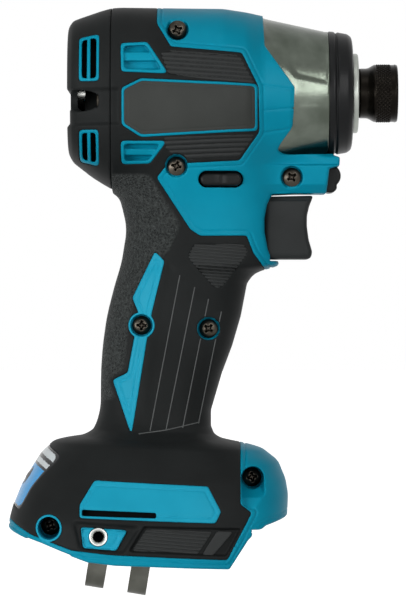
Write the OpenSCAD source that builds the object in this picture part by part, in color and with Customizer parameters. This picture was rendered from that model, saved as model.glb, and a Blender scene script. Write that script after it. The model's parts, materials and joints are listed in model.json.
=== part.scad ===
// Cordless impact driver without its battery, in millimetres.
// X runs forward along the drive axis, Z is up and Y is the user's left.
// The origin is the mouth of the bit socket, on the drive axis.

/* [Overall] */
// Drop from the drive axis to the underside of the foot
foot_drop = 157; // [156:0.2:160]
// Wall of the moulded housing
wall = 2.6; // [2.3:0.1:2.8]
// Thickness of the black elastomer skin
skin = 1.2; // [0.8:0.1:1.4]

/* [Grip] */
// Depth of the grip from palm to fingers
grip_depth = 45; // [44.5:0.1:46]
// Width of the grip across
grip_width = 33; // [32.5:0.1:35]
// Distance of the grip's middle behind the socket's mouth
grip_setback = 74; // [73.6:0.1:74.4]

/* [Foot] */
// Half the length of the foot
foot_reach = 47; // [46.6:0.1:48]
// Half the width of the foot
foot_half_width = 38.5; // [38.2:0.1:40]
// Height of the foot up to the neck of the grip
foot_height = 46; // [45.5:0.1:46.5]
// Distance of the foot's middle behind the socket's mouth
foot_setback = 84.5; // [84:0.1:85]
// Lean of the battery slide, down towards the front, in degrees
foot_tilt = 2.2; // [1.6:0.1:2.8]
// Half the width of the battery bay
bay_half_width = 30.5; // [30:0.1:30.8]
// Height of the battery bay
bay_height = 13; // [12.5:0.1:13.5]
// Inward reach of each battery rail
rail_lip = 4; // [3:0.1:5]
// Thickness of each battery rail
rail_thickness = 4; // [3:0.1:5]

/* [Nose] */
// Length of the bit sleeve
sleeve_length = 13; // [12.8:0.1:13.4]
// Radius of the bit sleeve's grip band
sleeve_r = 9.85; // [9.6:0.05:10.4]
// Radius of the bit sleeve's neck
sleeve_neck_r = 8.4; // [8.2:0.05:8.8]
// Radius of the bare nose boss
boss_r = 13.5; // [12.5:0.1:14.5]
// Length of the nose boss that stands clear of the bumper
boss_stand = 2; // [1.6:0.1:2.4]
// Length of the nose bumper
bumper_length = 8.1; // [7.6:0.1:8.5]
// Radius of the nose bumper
bumper_r = 20.8; // [20.4:0.05:21]
// Radius of the hammer case behind the bumper
case_front_r = 21.4; // [21.2:0.05:21.8]
// Wall of the hammer case round the ring gear
case_wall = 1.85; // [1.65:0.05:2.4]
// Length of the hammer case's cone
cone_length = 22.3; // [22:0.1:22.8]
// Depth to which the housing's cheeks sink into the hammer case
cheek_depth = 2.6; // [2.2:0.1:2.7]

/* [Impact mechanism] */
// Distance across the flats of the bit socket
socket_flats = 6.45; // [6.4:0.01:6.55]
// Depth of the bit socket
socket_depth = 19; // [16:0.5:21]
// Radius of the anvil's shank
anvil_r = 6; // [5.8:0.05:6.1]
// Radius to the ends of the anvil's wings
wing_span = 17; // [15:0.1:17.3]
// Width of each anvil wing
wing_width = 9; // [7:0.1:10]
// Length of the anvil's wings along the axis
wing_length = 6; // [5.6:0.1:6.2]
// Length of the bush that carries the anvil
nose_length = 12.3; // [12:0.1:12.6]
// Outer radius of the anvil's bush
bush_r = 8; // [7.6:0.1:9]
// Outer radius of the hammer
hammer_r = 18.6; // [18:0.1:18.8]
// Length of the hammer's body
hammer_length = 13; // [12.8:0.1:13.2]
// Length of the hammer's two lugs
lug_length = 5.6; // [5:0.1:5.8]
// Rearward travel of the hammer
hammer_travel = 6.2; // [6:0.1:6.4]
// Radius of the spindle
spindle_r = 7.5; // [7.2:0.05:7.6]
// Radius of the spindle's front pilot
pilot_r = 3.1; // [2.8:0.05:3.3]
// Radius of the two balls in the spindle's cam grooves
cam_ball_r = 2.4; // [2.2:0.05:2.5]
// Radius of the hammer spring's wire
hammer_wire_r = 1.1; // [0.9:0.05:1.15]
// Mean radius of the hammer spring
hammer_coil_r = 12.4; // [11.8:0.1:12.6]
// Turns of the hammer spring
hammer_turns = 3; // [2:0.5:3]
// Radius of the balls between hammer and spring washer
thrust_ball_r = 0.9; // [0.7:0.05:1]
// Number of balls between hammer and spring washer
thrust_balls_n = 16; // [8:1:20]

/* [Gears] */
// Tooth module of the planetary gears
gear_module = 0.8; // [0.78:0.01:0.8]
// Teeth on the sun pinion
sun_teeth = 9; // [9:2:9]
// Teeth on each planet gear
planet_teeth = 19; // [19:2:19]
// Pressure angle of the teeth, in degrees
pressure_angle = 25; // [22:1:26]
// Width of the planet gears
planet_width = 6.5; // [6:0.1:6.8]
// Radius of the planet pins
planet_pin_r = 1.95; // [1.6:0.05:2.2]
// Thickness of each carrier flange
flange_t = 3.2; // [3:0.1:3.4]
// Radius of the carrier flanges
carrier_r = 15.5; // [15:0.1:16]
// Wall of the ring gear outside its teeth
ring_rim = 2.06; // [1.8:0.02:2.14]

/* [Motor] */
// Length of the motor's laminated core
core_length = 12.8; // [12.4:0.1:14]
// Outer radius of the stator
stator_r = 23; // [22.5:0.1:23.4]
// Thickness of the housing and its rear screws round the motor
motor_cover = 8; // [7.6:0.1:9]
// Height of the housing above the motor
motor_rise = 6; // [5.7:0.1:7]
// Gap between rotor and stator
air_gap = 0.5; // [0.4:0.05:0.7]
// Radius of the rotor shaft
shaft_r = 2.5; // [2.3:0.05:2.5]
// Outer radius of the motor's ball bearings
motor_bearing_r = 6.5; // [6:0.1:7]
// Width of the motor's ball bearings
motor_bearing_w = 4; // [3.6:0.1:4.2]
// Outer radius of the spindle bearing
spindle_bearing_r = 13; // [12.6:0.1:13.2]
// Inner radius of the spindle bearing
spindle_journal_r = 8.5; // [8.2:0.1:8.8]
// Width of the spindle bearing
spindle_bearing_w = 5; // [4.8:0.1:5.2]
// Distance of the fan's rim inside the stator's
fan_clear = 2.5; // [2:0.1:5]
// Width of the fan
fan_width = 5.4; // [5:0.1:5.6]
// Blades on the fan
fan_blades = 14; // [9:1:18]
// Slots in the stator
stator_slots = 6; // [6:3:6]
// Reach of the windings beyond the stator core
coil_reach = 3.4; // [3:0.1:3.6]

/* [Trigger and switch] */
// Height of the trigger
trigger_height = 21.2; // [20:0.1:21.6]
// Width of the trigger
trigger_width = 18; // [16:0.1:19]
// Travel of the trigger
trigger_travel = 6.5; // [5:0.1:6.8]
// Radius of the trigger's back
trigger_back_r = 15.5; // [15.2:0.1:16]
// Radius of the finger hollow in the trigger
trigger_hollow_r = 21.2; // [19:0.1:26]
// Setback of the middle of the trigger's back arc
trigger_setback = 29.2; // [29:0.1:29.4]
// Length of the switch body
switch_length = 26; // [22:0.5:27]
// Height of the switch body
switch_height = 20.5; // [18:0.1:21]
// Width of the switch body
switch_width = 17; // [14:0.5:19]
// Length of the direction lever
lever_length = 13.8; // [12:0.1:14.4]
// Height of the direction lever
lever_height = 4.4; // [3.8:0.1:4.6]
// Height of the direction lever's middle above the chin's floor
lever_rise = 3.9; // [3.7:0.1:4.1]
// Setback of the direction lever's middle
lever_setback = 59.6; // [59:0.1:60]
// Travel of the direction lever each way from neutral
lever_travel = 2.5; // [2:0.1:3]

/* [Lamp and panel] */
// Width of the job lamp
lamp_width = 14; // [12:0.1:16]
// Height of the job lamp
lamp_height = 8.8; // [8:0.1:9]
// Height of the chin above and below the job lamp together
chin_rim = 3; // [2.8:0.1:3.4]
// Thickness of the job lamp's front
lamp_reach = 3.7; // [3:0.1:3.9]
// Height of the mode panel along its slope
panel_height = 20; // [18:0.1:21]
// Width of the mode panel
panel_width = 40; // [36:0.5:42]
// Radius of the panel's buttons
button_r = 3.2; // [2.6:0.1:3.4]
// Travel of the panel's buttons
button_travel = 0.6; // [0.4:0.1:0.8]
// Thickness of the rating plate
plate_t = 0.6; // [0.4:0.1:0.8]

/* [Belt hook] */
// Thickness of the belt hook's sheet
hook_t = 1.8; // [1.5:0.1:2]
// Width of the belt hook
hook_width = 21.5; // [20:0.1:23]
// Gap between the belt hook's two prongs
hook_slot = 8.5; // [7:0.1:10]
// Depth of the belt hook below its screw
hook_depth = 16.8; // [15:0.1:18]
// Inner radius of the belt hook's bend
hook_bend_r = 4.6; // [4:0.1:5.5]
// Height of the belt hook's outer leg
hook_return = 20; // [16:0.1:22]
// Lean of the belt hook on its screw, in degrees
hook_lean = 7; // [0:0.5:8]
// Thread radius in the hook's inserts
insert_bore_r = 1.65; // [1.6:0.01:1.7]
// Outer radius of the hook's inserts
insert_r = 3; // [2.6:0.1:3.4]
// Length of the hook's inserts
insert_length = 6; // [5:0.1:6.2]

/* [Fasteners] */
// Radius of a housing screw's shank
screw_r = 1.5; // [1.3:0.05:1.6]
// Radius of a housing screw's head
screw_head_r = 3.2; // [2.9:0.05:3.3]
// Height of a housing screw's head
screw_head_h = 2.2; // [1.8:0.1:2.6]
// Grip of a housing screw in the left half
screw_grip = 9; // [7:0.1:10]
// Radius of the bosses round the housing screws
screw_boss_r = 3.2; // [3:0.05:3.3]

/* [Fits] */
// Gap between pieces that are assembled but do not slide
seat_gap = 0.05; // [0.02:0.01:0.1]
// Radial gap of turning pieces
turn_gap = 0.06; // [0.03:0.01:0.1]
// Gap beside sliding pieces
slide_gap = 0.3; // [0.2:0.02:0.4]
// Gap between moulded edges
edge_gap = 0.25; // [0.15:0.05:0.35]
// Play between meshing teeth
tooth_play = 0.16; // [0.1:0.02:0.24]

/* [Hidden] */

$fn = 48;
ring_n = 24;
inner_n = 12;
moulded_fn = 12;
round_fn = 32;

teal = [0, 0.45, 0.55];
black = [0.09, 0.09, 0.1];
steel = [0.62, 0.63, 0.65];
cast = [0.55, 0.56, 0.58];
brass = [0.75, 0.6, 0.3];
copper = [0.72, 0.4, 0.2];
board = [0.1, 0.35, 0.2];
white = [0.85, 0.86, 0.84];
grey = [0.2, 0.2, 0.21];

// Stations along the drive axis, from the sleeve back to the rear cover
x_sleeve = -sleeve_length;
x_boss = x_sleeve - slide_gap;
x_bumper = x_boss - boss_stand;
x_cone = x_bumper - bumper_length;
x_edge = x_cone - cone_length;
x_face = x_boss - nose_length;
washer_t = nose_length / 24;
x_wing = x_face - washer_t - slide_gap / 2;
x_wing_back = x_wing - wing_length;
x_hammer = x_wing_back - 2 * slide_gap;
x_hammer_back = x_hammer - hammer_length;
x_carrier = x_hammer_back - hammer_travel - 2 * slide_gap;
x_pocket = x_carrier - flange_t;
x_pocket_back = x_pocket - planet_width - 2 * slide_gap;
x_carrier_back = x_pocket_back - flange_t;
x_journal = x_carrier_back - spindle_bearing_w;
x_web = x_journal - flange_t / 3;
x_front_bearing = x_web - motor_bearing_w;
x_box = x_front_bearing - slide_gap;
board_t = flange_t / 3;
x_sensor = x_box - 2 * slide_gap - board_t;
x_core_front = x_sensor - 3 * slide_gap - coil_reach;
x_core = x_core_front - core_length;
x_coil = x_core - coil_reach;
x_fan = x_coil - 2 * slide_gap - fan_width;
x_rear_bearing = x_fan - slide_gap - motor_bearing_w;
x_rear = x_rear_bearing - slide_gap - wall / 2;
head_length = -x_rear;
split_share = 0.868;
x_split = -split_share * head_length;
far = head_length + foot_drop;

// Drops below the drive axis
chin_top = bumper_r + wall / 4 + edge_gap;
chin_floor = chin_top + lamp_height + chin_rim;
trigger_drop = chin_floor + trigger_height / 2 + 4 * slide_gap;
lever_drop = chin_floor - lever_rise;
grip_drop = foot_drop - foot_height;

// Gear sizes
ring_teeth = sun_teeth + 2 * planet_teeth;
planet_orbit = gear_module * (sun_teeth + planet_teeth) / 2;
addendum_share = 0.8;
dedendum_share = 1.05;
addendum = gear_module * addendum_share;
dedendum = gear_module * dedendum_share;
ring_pitch_r = gear_module * ring_teeth / 2;
ring_r = ring_pitch_r + dedendum + ring_rim;

// Sizes taken from what the housing and the hammer case hold
head_half_width = stator_r + motor_cover;
head_rise = stator_r + motor_rise;
rotor_r = stator_r / 2;
fan_r = stator_r - fan_clear;
case_rear_r = ring_r + seat_gap + case_wall + cheek_depth;

// Points of a rounded section between two ends, with a half width and a squareness
function bulge(c, power) = sign(c) * pow(abs(c), 2 / power);
function oval(back, front, half, power, n) = [for (i = [0 : n - 1]) let (t = 360 * i / n)
    [(front + back) / 2 + (front - back) / 2 * bulge(cos(t), power), half * bulge(sin(t), power)]];
function head_oval(x, half, rise, sag, power, n) = [for (i = [0 : n - 1]) let (t = 360 * i / n)
    [x, half * bulge(cos(t), power), (sin(t) > 0 ? rise : sag) * bulge(sin(t), power)]];

// Solid between successive rings of points
module cloud(points) polyhedron(points, [[for (i = [0 : len(points) - 1]) i]]);
module loft(rings) for (i = [0 : len(rings) - 2]) hull() cloud(concat(rings[i], rings[i + 1]));

// Outline in X and Z carried right across the tool
module across(points, width = far) rotate([90, 0, 0]) linear_extrude(width, center = true) polygon(points);
module turned(profile) rotate([0, 90, 0]) rotate_extrude() polygon(profile);
module rod(r, x_from, x_to) translate([x_from, 0, 0]) rotate([0, 90, 0]) cylinder(h = x_to - x_from, r = r);
module tube(outer, inner, x_from, x_to)
    turned([[inner, x_from], [outer, x_from], [outer, x_to], [inner, x_to]]);
module cross_rod(r, x, z, y_from, y_to)
    translate([x, y_to, z]) rotate([90, 0, 0]) cylinder(h = y_to - y_from, r = r);
module half_space(s) translate([-far, s < 0 ? -2 * far : 0, -far]) cube(2 * far);
module block(x_from, x_to, width, z_from, z_to)
    translate([x_from, -width / 2, z_from]) cube([x_to - x_from, width, z_to - z_from]);
module pill(length, height) hull() for (s = [-1, 1]) translate([s * (length - height) / 2, 0])
    circle(d = height);

// Head: share of the length behind the mouth, then shares of half width, rise and sag, and squareness
cover_shares = [[1, 0.72, 0.79, 0.74, 2.8], [0.994, 0.8, 0.835, 0.79, 2.8],
    [0.973, 0.87, 0.865, 0.85, 2.75], [0.931, 0.935, 0.908, 0.975, 2.7], [0.9, 0.975, 0.952, 1.05, 2.7],
    [split_share, 1, 1, 1.12, 2.7]];
head_shares = [[split_share, 1, 1, 1.12, 2.7], [0.53, 0.995, 0.98, 0.97, 2.6],
    [0.46, 0.945, 0.945, 0.945, 2.35]];
function station(s, inset, n) = head_oval(-s[0] * head_length, s[1] * head_half_width - inset,
    s[2] * head_rise - inset, s[3] * head_rise - inset, s[4], n);
function cone_r(x) = case_front_r + (case_rear_r - case_front_r) * (x_cone - x) / cone_length;
function cone_ring(x, inset, n) =
    head_oval(x, cone_r(x) - inset, cone_r(x) - inset, cone_r(x) - inset, 2, n);
cheek_share = 0.29;
x_cheek = -cheek_share * head_length;
module head_form(inset, n = ring_n) loft(concat([for (s = head_shares) station(s, inset, n)],
    [cone_ring(x_edge, inset, n), cone_ring(x_cheek, inset, n)]));
module cover_form(inset, n = ring_n) loft([for (s = cover_shares) station(s, inset, n)]);

// Grip: share of its drop down to the foot, rear and front shares of its depth, share of its half width
grip_shares = [[0.1627, 0.49, 0.756, 1.5], [0.2702, 0.49, 0.756, 1.3], [0.3239, 0.43, 0.756, 1.16],
    [0.4102, 0.38, 0.756, 1.06], [0.5134, 0.418, 0.795, 1.015], [0.5318, 0.433, 0.745, 1.01],
    [0.5502, 0.449, 0.59, 1.005], [0.5771, 0.469, 0.52, 1], [0.6761, 0.531, 0.473, 1],
    [0.7652, 0.562, 0.409, 0.988], [0.8472, 0.576, 0.333, 0.964], [0.9618, 0.578, 0.25, 0.955],
    [1.0453, 0.65, 0.267, 1.12]];
grip_power = 2.45;
function grip_back(s) = max(-grip_setback - s[1] * grip_depth,
    s[0] < foot_top_share ? x_split + edge_gap : -far);
foot_top_share = 0.42;
module grip_form(inset, n = ring_n) loft([for (s = grip_shares)
    [for (p = oval(grip_back(s) + inset, -grip_setback + s[2] * grip_depth - inset,
        s[3] * grip_width / 2 - inset, grip_power, n)) [p[0], p[1], -s[0] * grip_drop]]]);

// Foot: share of its height, rear, front and half width shares, and squareness
foot_shares = [[1, -0.347, 0.468, 0.436, 2.4], [0.913, -0.38, 0.49, 0.5, 2.4],
    [0.86, -0.68, 0.78, 0.636, 2.4], [0.761, -0.785, 0.915, 0.727, 2.5],
    [0.63, -0.857, 0.974, 0.831, 2.6], [0.522, -0.915, 0.996, 0.888, 2.7],
    [0.37, -0.968, 0.996, 0.951, 2.8], [0.261, -0.991, 0.968, 0.982, 3], [0, -1, 0.957, 1, 3]];
foot_side_shares = [[-1.2, 1.2], [-1.2, 0.3], [-1, 0.205], [-0.85, 0.157], [-0.73, 0.13], [-0.59, 0.076],
    [-0.4, 0.015], [-0.21, 0], [0.59, 0], [0.715, 0.21], [0.836, 0.31], [0.985, 0.36], [1.2, 0.42],
    [1.2, 1.2]];
function in_foot(shares) = [for (s = shares) [s[0] * foot_reach, s[1] * foot_height]];
function foot_to_side(shares) = [for (p = in_foot(shares))
    [-foot_setback + p[0] * cos(foot_tilt) + p[1] * sin(foot_tilt),
    -foot_drop - p[0] * sin(foot_tilt) + p[1] * cos(foot_tilt)]];
module at_foot() translate([-foot_setback, 0, -foot_drop]) rotate([0, foot_tilt, 0]) children();
module foot_form(inset, n = ring_n) at_foot() intersection() {
    loft([for (s = foot_shares) [for (p = oval(s[1] * foot_reach + inset, s[2] * foot_reach - inset,
        s[3] * foot_half_width - inset, s[4], n)) [p[0], p[1], s[0] * foot_height]]]);
    across(in_foot(foot_side_shares));
}

// Outlines seen from the side, as shares of the head's length and rise or of the grip's drop
function on_head(shares) = [for (s = shares) [-s[0] * head_length, s[1] * head_rise]];
function on_grip(shares) = [for (s = shares) [-s[0] * head_length, -s[1] * grip_drop]];
cheek_shares = [[0.404, 1.3], [0.404, 0.56], [0.316, 0.045], [0.316, -0.445], [0.376, -0.69],
    [0.354, -0.81], [0.354, -1.3], [1, -1.3], [1, 1.3]];
skin_head_shares = [[0.99, 1.3], [0.726, 1.3], [0.726, 0.83], [0.682, 0.486], [0.477, 0.407],
    [0.422, 0.02], [0.427, -0.486], [0.475, -0.793], [0.638, -0.852], [0.726, -1.01]];
skin_grip_shares = [[0.625, 0.414], [0.602, 0.438], [0.463, 0.438], [0.452, 0.455], [0.432, 0.501],
    [0.404, 0.53], [0.324, 0.54], [0.324, 0.99], [0.45, 1.011]];
skin_foot_shares = [[0.67, 0.935], [0.664, 0.498], [0.745, 0.417], [0.577, 0.085], [-0.138, 0.082],
    [-0.4, 0.095], [-0.59, 0.15], [-0.785, 0.22], [-1, 0.27], [-1.2, 0.28], [-1.2, 1.05]];
upper_vent_shares = [[0.832, 0.52], [0.748, 0.52], [0.695, 0.172], [0.832, 0.193]];
lower_vent_shares = [[0.832, -0.607], [0.699, -0.607], [0.751, -0.855], [0.832, -0.855]];
upper_slot_shares = [[[0.826, 0.495], [0.75, 0.495], [0.73, 0.375], [0.826, 0.375]],
    [[0.826, 0.325], [0.722, 0.325], [0.704, 0.2], [0.826, 0.22]]];
lower_slot_shares = [[[0.826, -0.635], [0.709, -0.635], [0.724, -0.71], [0.826, -0.71]],
    [[0.826, -0.755], [0.734, -0.755], [0.749, -0.83], [0.826, -0.83]]];
plate_shares = [[0.825, -0.014], [0.771, 0.072], [0.435, 0.024], [0.435, -0.452], [0.771, -0.52],
    [0.825, -0.407]];
inlay_shares = [[0.734, 0.484], [0.707, 0.505], [0.749, 0.693], [0.8, 0.625]];
lower_inlay_shares = [[0.758, 0.735], [0.8, 1.027], [0.86, 0.874], [0.818, 0.856], [0.797, 0.735]];
foot_panel_shares = [[-0.351, 0.585], [0.43, 0.574], [0.521, 0.4], [0.485, 0.326], [-0.453, 0.33],
    [-0.453, 0.415]];
hook_pad_shares = [[-0.44, 0.252], [-0.128, 0.254], [-0.189, 0.117], [-0.423, 0.113]];
cover_slot_shares = [[[0.957, 0.59], [0.935, 0.6], [0.935, 0.09], [0.957, 0.09]],
    [[0.925, 0.61], [0.903, 0.62], [0.903, 0.09], [0.925, 0.09]],
    [[0.957, -0.48], [0.935, -0.48], [0.935, -0.87], [0.957, -0.83]],
    [[0.925, -0.48], [0.903, -0.48], [0.903, -0.91], [0.925, -0.88]]];
cover_frame_shares = [[[0.962, 0.63], [0.898, 0.66], [0.898, 0.05], [0.962, 0.05]],
    [[0.962, -0.44], [0.898, -0.44], [0.898, -0.95], [0.962, -0.88]]];

// Housing screws: setback, height and depth of the seat, as shares of head length, foot drop and half width
screw_shares = [[0.667, 0.123, 0.72], [0.669, -0.147, 0.66], [0.324, -0.174, 0.3], [0.776, -0.499, 0.37],
    [0.578, -0.503, 0.37], [0.445, -0.835, 0.42], [1.056, -0.921, 0.7]];
function screw_at(s) = [-s[0] * head_length, s[2] * head_half_width, s[1] * foot_drop];

// Whole outside of the tool behind the hammer case
chin_half_width = lamp_width / 2 + 2 * wall;
x_lip_back = sleeve_length + boss_stand + 2 * slide_gap + lamp_reach;
x_chin = -x_lip_back - lamp_reach;
module chin_form() {
    points = [[chin_half_width, -chin_top], [chin_half_width - wall, -chin_floor + wall],
        [chin_half_width - 2 * wall, -chin_floor], [2 * wall - chin_half_width, -chin_floor],
        [wall - chin_half_width, -chin_floor + wall], [-chin_half_width, -chin_top]];
    hull() cloud(concat([for (p = points) [x_chin, p[0], p[1]]],
        [for (p = points) [2 * x_chin, p[0], p[1]]]));
    block(x_chin - wall, -x_lip_back, 2 * chin_half_width - wall, -chin_top - wall, -chin_top);
}
module outside(inset, n = ring_n) {
    intersection() {
        head_form(inset, n);
        across(on_head(cheek_shares));
    }
    grip_form(inset, n);
    foot_form(inset, n);
}

// Share of the side that the elastomer skin covers
module skin_outline() difference() {
    polygon(concat(on_head(skin_head_shares), on_grip(skin_grip_shares), foot_to_side(skin_foot_shares)));
    polygon(on_head(upper_vent_shares));
    polygon(on_head(lower_vent_shares));
    polygon(on_grip(inlay_shares));
    polygon(on_grip(lower_inlay_shares));
    polygon(foot_to_side(foot_panel_shares));
    polygon(foot_to_side(hook_pad_shares));
    for (s = screw_shares) translate([screw_at(s)[0], screw_at(s)[2]])
        circle(r = screw_head_r + 2 * edge_gap);
}
module skin_zone(grow = 0) rotate([90, 0, 0]) linear_extrude(2 * far, center = true) offset(delta = grow)
    skin_outline();
module plate_zone(grow) translate([0, -head_half_width, 0]) rotate([90, 0, 0])
    linear_extrude(2 * head_half_width, center = true) offset(delta = grow) polygon(on_head(plate_shares));

// Mode panel on the rear slope of the foot
panel_lean = 58;
panel_shares = [0.855, 0.585];
module at_panel() at_foot() translate([-panel_shares[0] * foot_reach, 0, panel_shares[1] * foot_height])
    rotate([0, -panel_lean, 0]) children();
button_pitch = panel_width / 5;
module panel_zone(grow) at_panel()
    cube([panel_height + 2 * grow, panel_width + 2 * grow, foot_height / 2], center = true);
module button_rod(s, r, from, to) at_panel() translate([0, s * button_pitch, from])
    cylinder(h = to - from, r = r);

// Trigger
trigger_x = -trigger_setback;
module trigger_outline(grow, $fn = $fn) difference() {
    intersection() {
        translate([trigger_x, -trigger_drop]) circle(r = trigger_back_r + grow);
        translate([trigger_x - 2 * trigger_back_r, -trigger_drop - trigger_height / 2 - grow])
            square([3 * trigger_back_r, trigger_height + 2 * grow]);
    }
    translate([trigger_x - wall / 2 + trigger_hollow_r, -trigger_drop + wall / 2])
        circle(r = trigger_hollow_r);
}
x_switch = trigger_x - trigger_back_r - trigger_travel - 2 * slide_gap;
plunger_r = trigger_width / 6;
trigger_round = wall / 2;

// One housing half, on the side that the sign gives
module head_cavity() {
    turned($fn = round_fn, profile =
        [[0, x_cheek + far], [cone_r(x_cone) - cheek_depth + edge_gap, x_cheek + far],
        [cone_r(x_cone) - cheek_depth + edge_gap, x_cone], [case_rear_r - cheek_depth + edge_gap, x_edge],
        [case_rear_r - cheek_depth + edge_gap, x_box + wall], [0, x_box + wall]]);
    intersection() {
        head_form(wall + skin, inner_n);
        block(x_split - far, x_box + wall + slide_gap, far, -far, far);
    }
}
module housing_half(s, $fn = moulded_fn) intersection() {
    half_space(s);
    difference() {
        union() {
            difference() {
                union() {
                    outside(0);
                    chin_form();
                }
                difference() {
                    skin_zone(seat_gap);
                    outside(skin + seat_gap, inner_n);
                }
                head_cavity();
                grip_form(wall + skin, inner_n);
                intersection() {
                    foot_form(wall + skin, inner_n);
                    at_foot() foot_room();
                }
                at_foot() battery_bay();
                if (s < 0) difference() {
                    plate_zone(edge_gap);
                    head_form(plate_t + edge_gap);
                }
                difference() {
                    panel_zone(edge_gap);
                    outside(skin, inner_n);
                }
            }
            intersection() {
                outside(skin + edge_gap, inner_n);
                housing_ribs();
            }
        }
        rod(stator_r + edge_gap, x_split - wall, x_box, $fn = round_fn);
        trigger_opening();
        vents();
        lever_slot();
        screw_holes(s);
        rear_screw_rods(screw_r + slide_gap / 2, x_split + screw_grip);
        lamp_opening();
        for (b = [-1, 1]) button_rod(b, button_r + slide_gap, -far / 4, far / 4);
        insert_hole();
        lead_holes();
    }
}
bay_end_share = -0.56;
bay_end = bay_end_share * foot_reach;
module foot_room() {
    block(-far, far, far, bay_height + wall, far);
    block(-far, bay_end - wall, far, bay_height, far);
}
module battery_bay() {
    block(bay_end, 2 * foot_reach, 2 * bay_half_width, rail_thickness, bay_height);
    block(bay_end, 2 * foot_reach, 2 * (bay_half_width - rail_lip), -wall, bay_height);
}
module rear_screw_rods(r, x_to) for (b = [-1, 1])
    translate([0, b * rear_screw_y, rear_screw_z]) rod(r, x_split - wall, x_to);
module housing_ribs() {
    rear_screw_rods(screw_boss_r, x_split + screw_grip + wall);
    for (x = [x_core + wall, x_core_front - wall])
        tube(head_half_width + wall, stator_r, x - wall / 2, x + wall / 2);
    for (p = screw_shares) {
        cross_rod(screw_boss_r, screw_at(p)[0], screw_at(p)[2], -far, far);
        cross_rod(screw_head_r + slide_gap + wall / 2, screw_at(p)[0], screw_at(p)[2], -far,
            wall - screw_at(p)[1]);
    }
    for (x = [x_switch - 2 * wall, x_switch - switch_length + 2 * wall]) difference() {
        block(x - wall / 2, x + wall / 2, 2 * grip_width, -switch_top - switch_height, -switch_top);
        block(x - wall, x + wall, switch_width + 2 * seat_gap, -far, far);
    }
    at_foot() translate([insert_at[0], 0, insert_at[1]]) for (b = [-1, 1])
        translate([0, b * (bay_half_width + (insert_length + wall) / 2), 0]) rotate([90, 0, 0])
        cylinder(h = insert_length + wall, r = insert_r + wall / 2, center = true);
}
switch_top = trigger_drop - trigger_height / 2 + slide_gap;
insert_shares = [-0.332, 0.198];
insert_at = in_foot([insert_shares])[0];
insert_sink_share = 0.6;
insert_face = foot_half_width - insert_sink_share * wall;
module insert_hole() at_foot() translate([insert_at[0], 0, insert_at[1]]) for (b = [-1, 1])
    translate([0, b * foot_half_width, 0]) rotate([90, 0, 0])
    cylinder(h = 2 * insert_length + 2 * wall, r = insert_r + 2 * seat_gap, center = true,
        $fn = round_fn / 2);
module trigger_opening() {
    rotate([90, 0, 0]) linear_extrude(trigger_width + 2 * slide_gap, center = true) union() {
        trigger_outline(slide_gap);
        translate([-trigger_travel, 0]) trigger_outline(slide_gap);
        translate([x_switch, -trigger_drop - trigger_height / 2 - slide_gap])
            square([trigger_travel + trigger_back_r, trigger_height + 2 * slide_gap]);
    }
    intersection() {
        rotate([90, 0, 0]) linear_extrude(far, center = true)
            translate([trigger_x, -trigger_drop]) circle(r = trigger_back_r + edge_gap);
        block(x_edge - wall, far, far, -trigger_drop - trigger_height / 2 - slide_gap, -chin_floor);
    }
}
module vents() for (list = [upper_slot_shares, lower_slot_shares], p = list) difference() {
    across(on_head(p));
    rod(stator_r, -far, far, $fn = round_fn);
}
module lever_slot() translate([-lever_setback, 0, -lever_drop]) rotate([90, 0, 0])
    linear_extrude(far, center = true) pill(lever_length + 2 * slide_gap, lever_height + 2 * slide_gap);
module screw_holes(s) for (p = screw_shares) {
    at = screw_at(p);
    if (s < 0) {
        cross_rod(screw_r + slide_gap, at[0], at[2], -far, wall);
        cross_rod(screw_head_r + slide_gap, at[0], at[2], -far, -at[1]);
    } else cross_rod(screw_r + slide_gap / 2, at[0], at[2], -wall, screw_grip + slide_gap);
}
module lamp_opening() translate([x_chin, 0, -chin_floor + lamp_height / 2 + slide_gap])
    cube([2 * lamp_reach, lamp_width - 2 * slide_gap, lamp_height - 2 * slide_gap], center = true);

module housing_right() color(teal) housing_half(-1);
module housing_left() color(teal) housing_half(1);

// Elastomer skin on one half
module skin_half(s, $fn = moulded_fn) intersection() {
    half_space(s);
    skin_zone();
    difference() {
        outside(0);
        outside(skin, inner_n);
        if (s < 0) plate_zone(2 * edge_gap);
        panel_zone(edge_gap);
        vents();
        lever_slot();
        trigger_opening();
        insert_hole();
    }
}
module skin_right() color(black) skin_half(-1);
module skin_left() color(black) skin_half(1);

// Rear cover with the rear bearing's seat, the air slots and the screw channels
channel_shares = [0.1, -0.365];
rear_screw_y = stator_r + 4 * slide_gap + screw_r;
module rear_channels() for (b = [-1, 1]) scale([1, b, 1])
    translate([x_rear - wall, rear_screw_y - screw_head_r - slide_gap,
        channel_shares[1] * head_rise])
    cube([wall + (x_split - x_rear) - screw_head_h, head_half_width,
        (channel_shares[0] - channel_shares[1]) * head_rise]);
module channel_walls() for (b = [-1, 1]) scale([1, b, 1])
    translate([x_rear, rear_screw_y - screw_head_r - slide_gap - wall / 2,
        channel_shares[1] * head_rise - wall / 2])
    cube([x_split - x_rear, head_half_width, (channel_shares[0] - channel_shares[1]) * head_rise + wall]);
module rear_slots() for (p = cover_slot_shares) across(on_head(p));
module rear_frames() for (p = cover_frame_shares) across(on_head(p));
rear_screw_z = (channel_shares[0] + channel_shares[1]) / 2 * head_rise;
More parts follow.
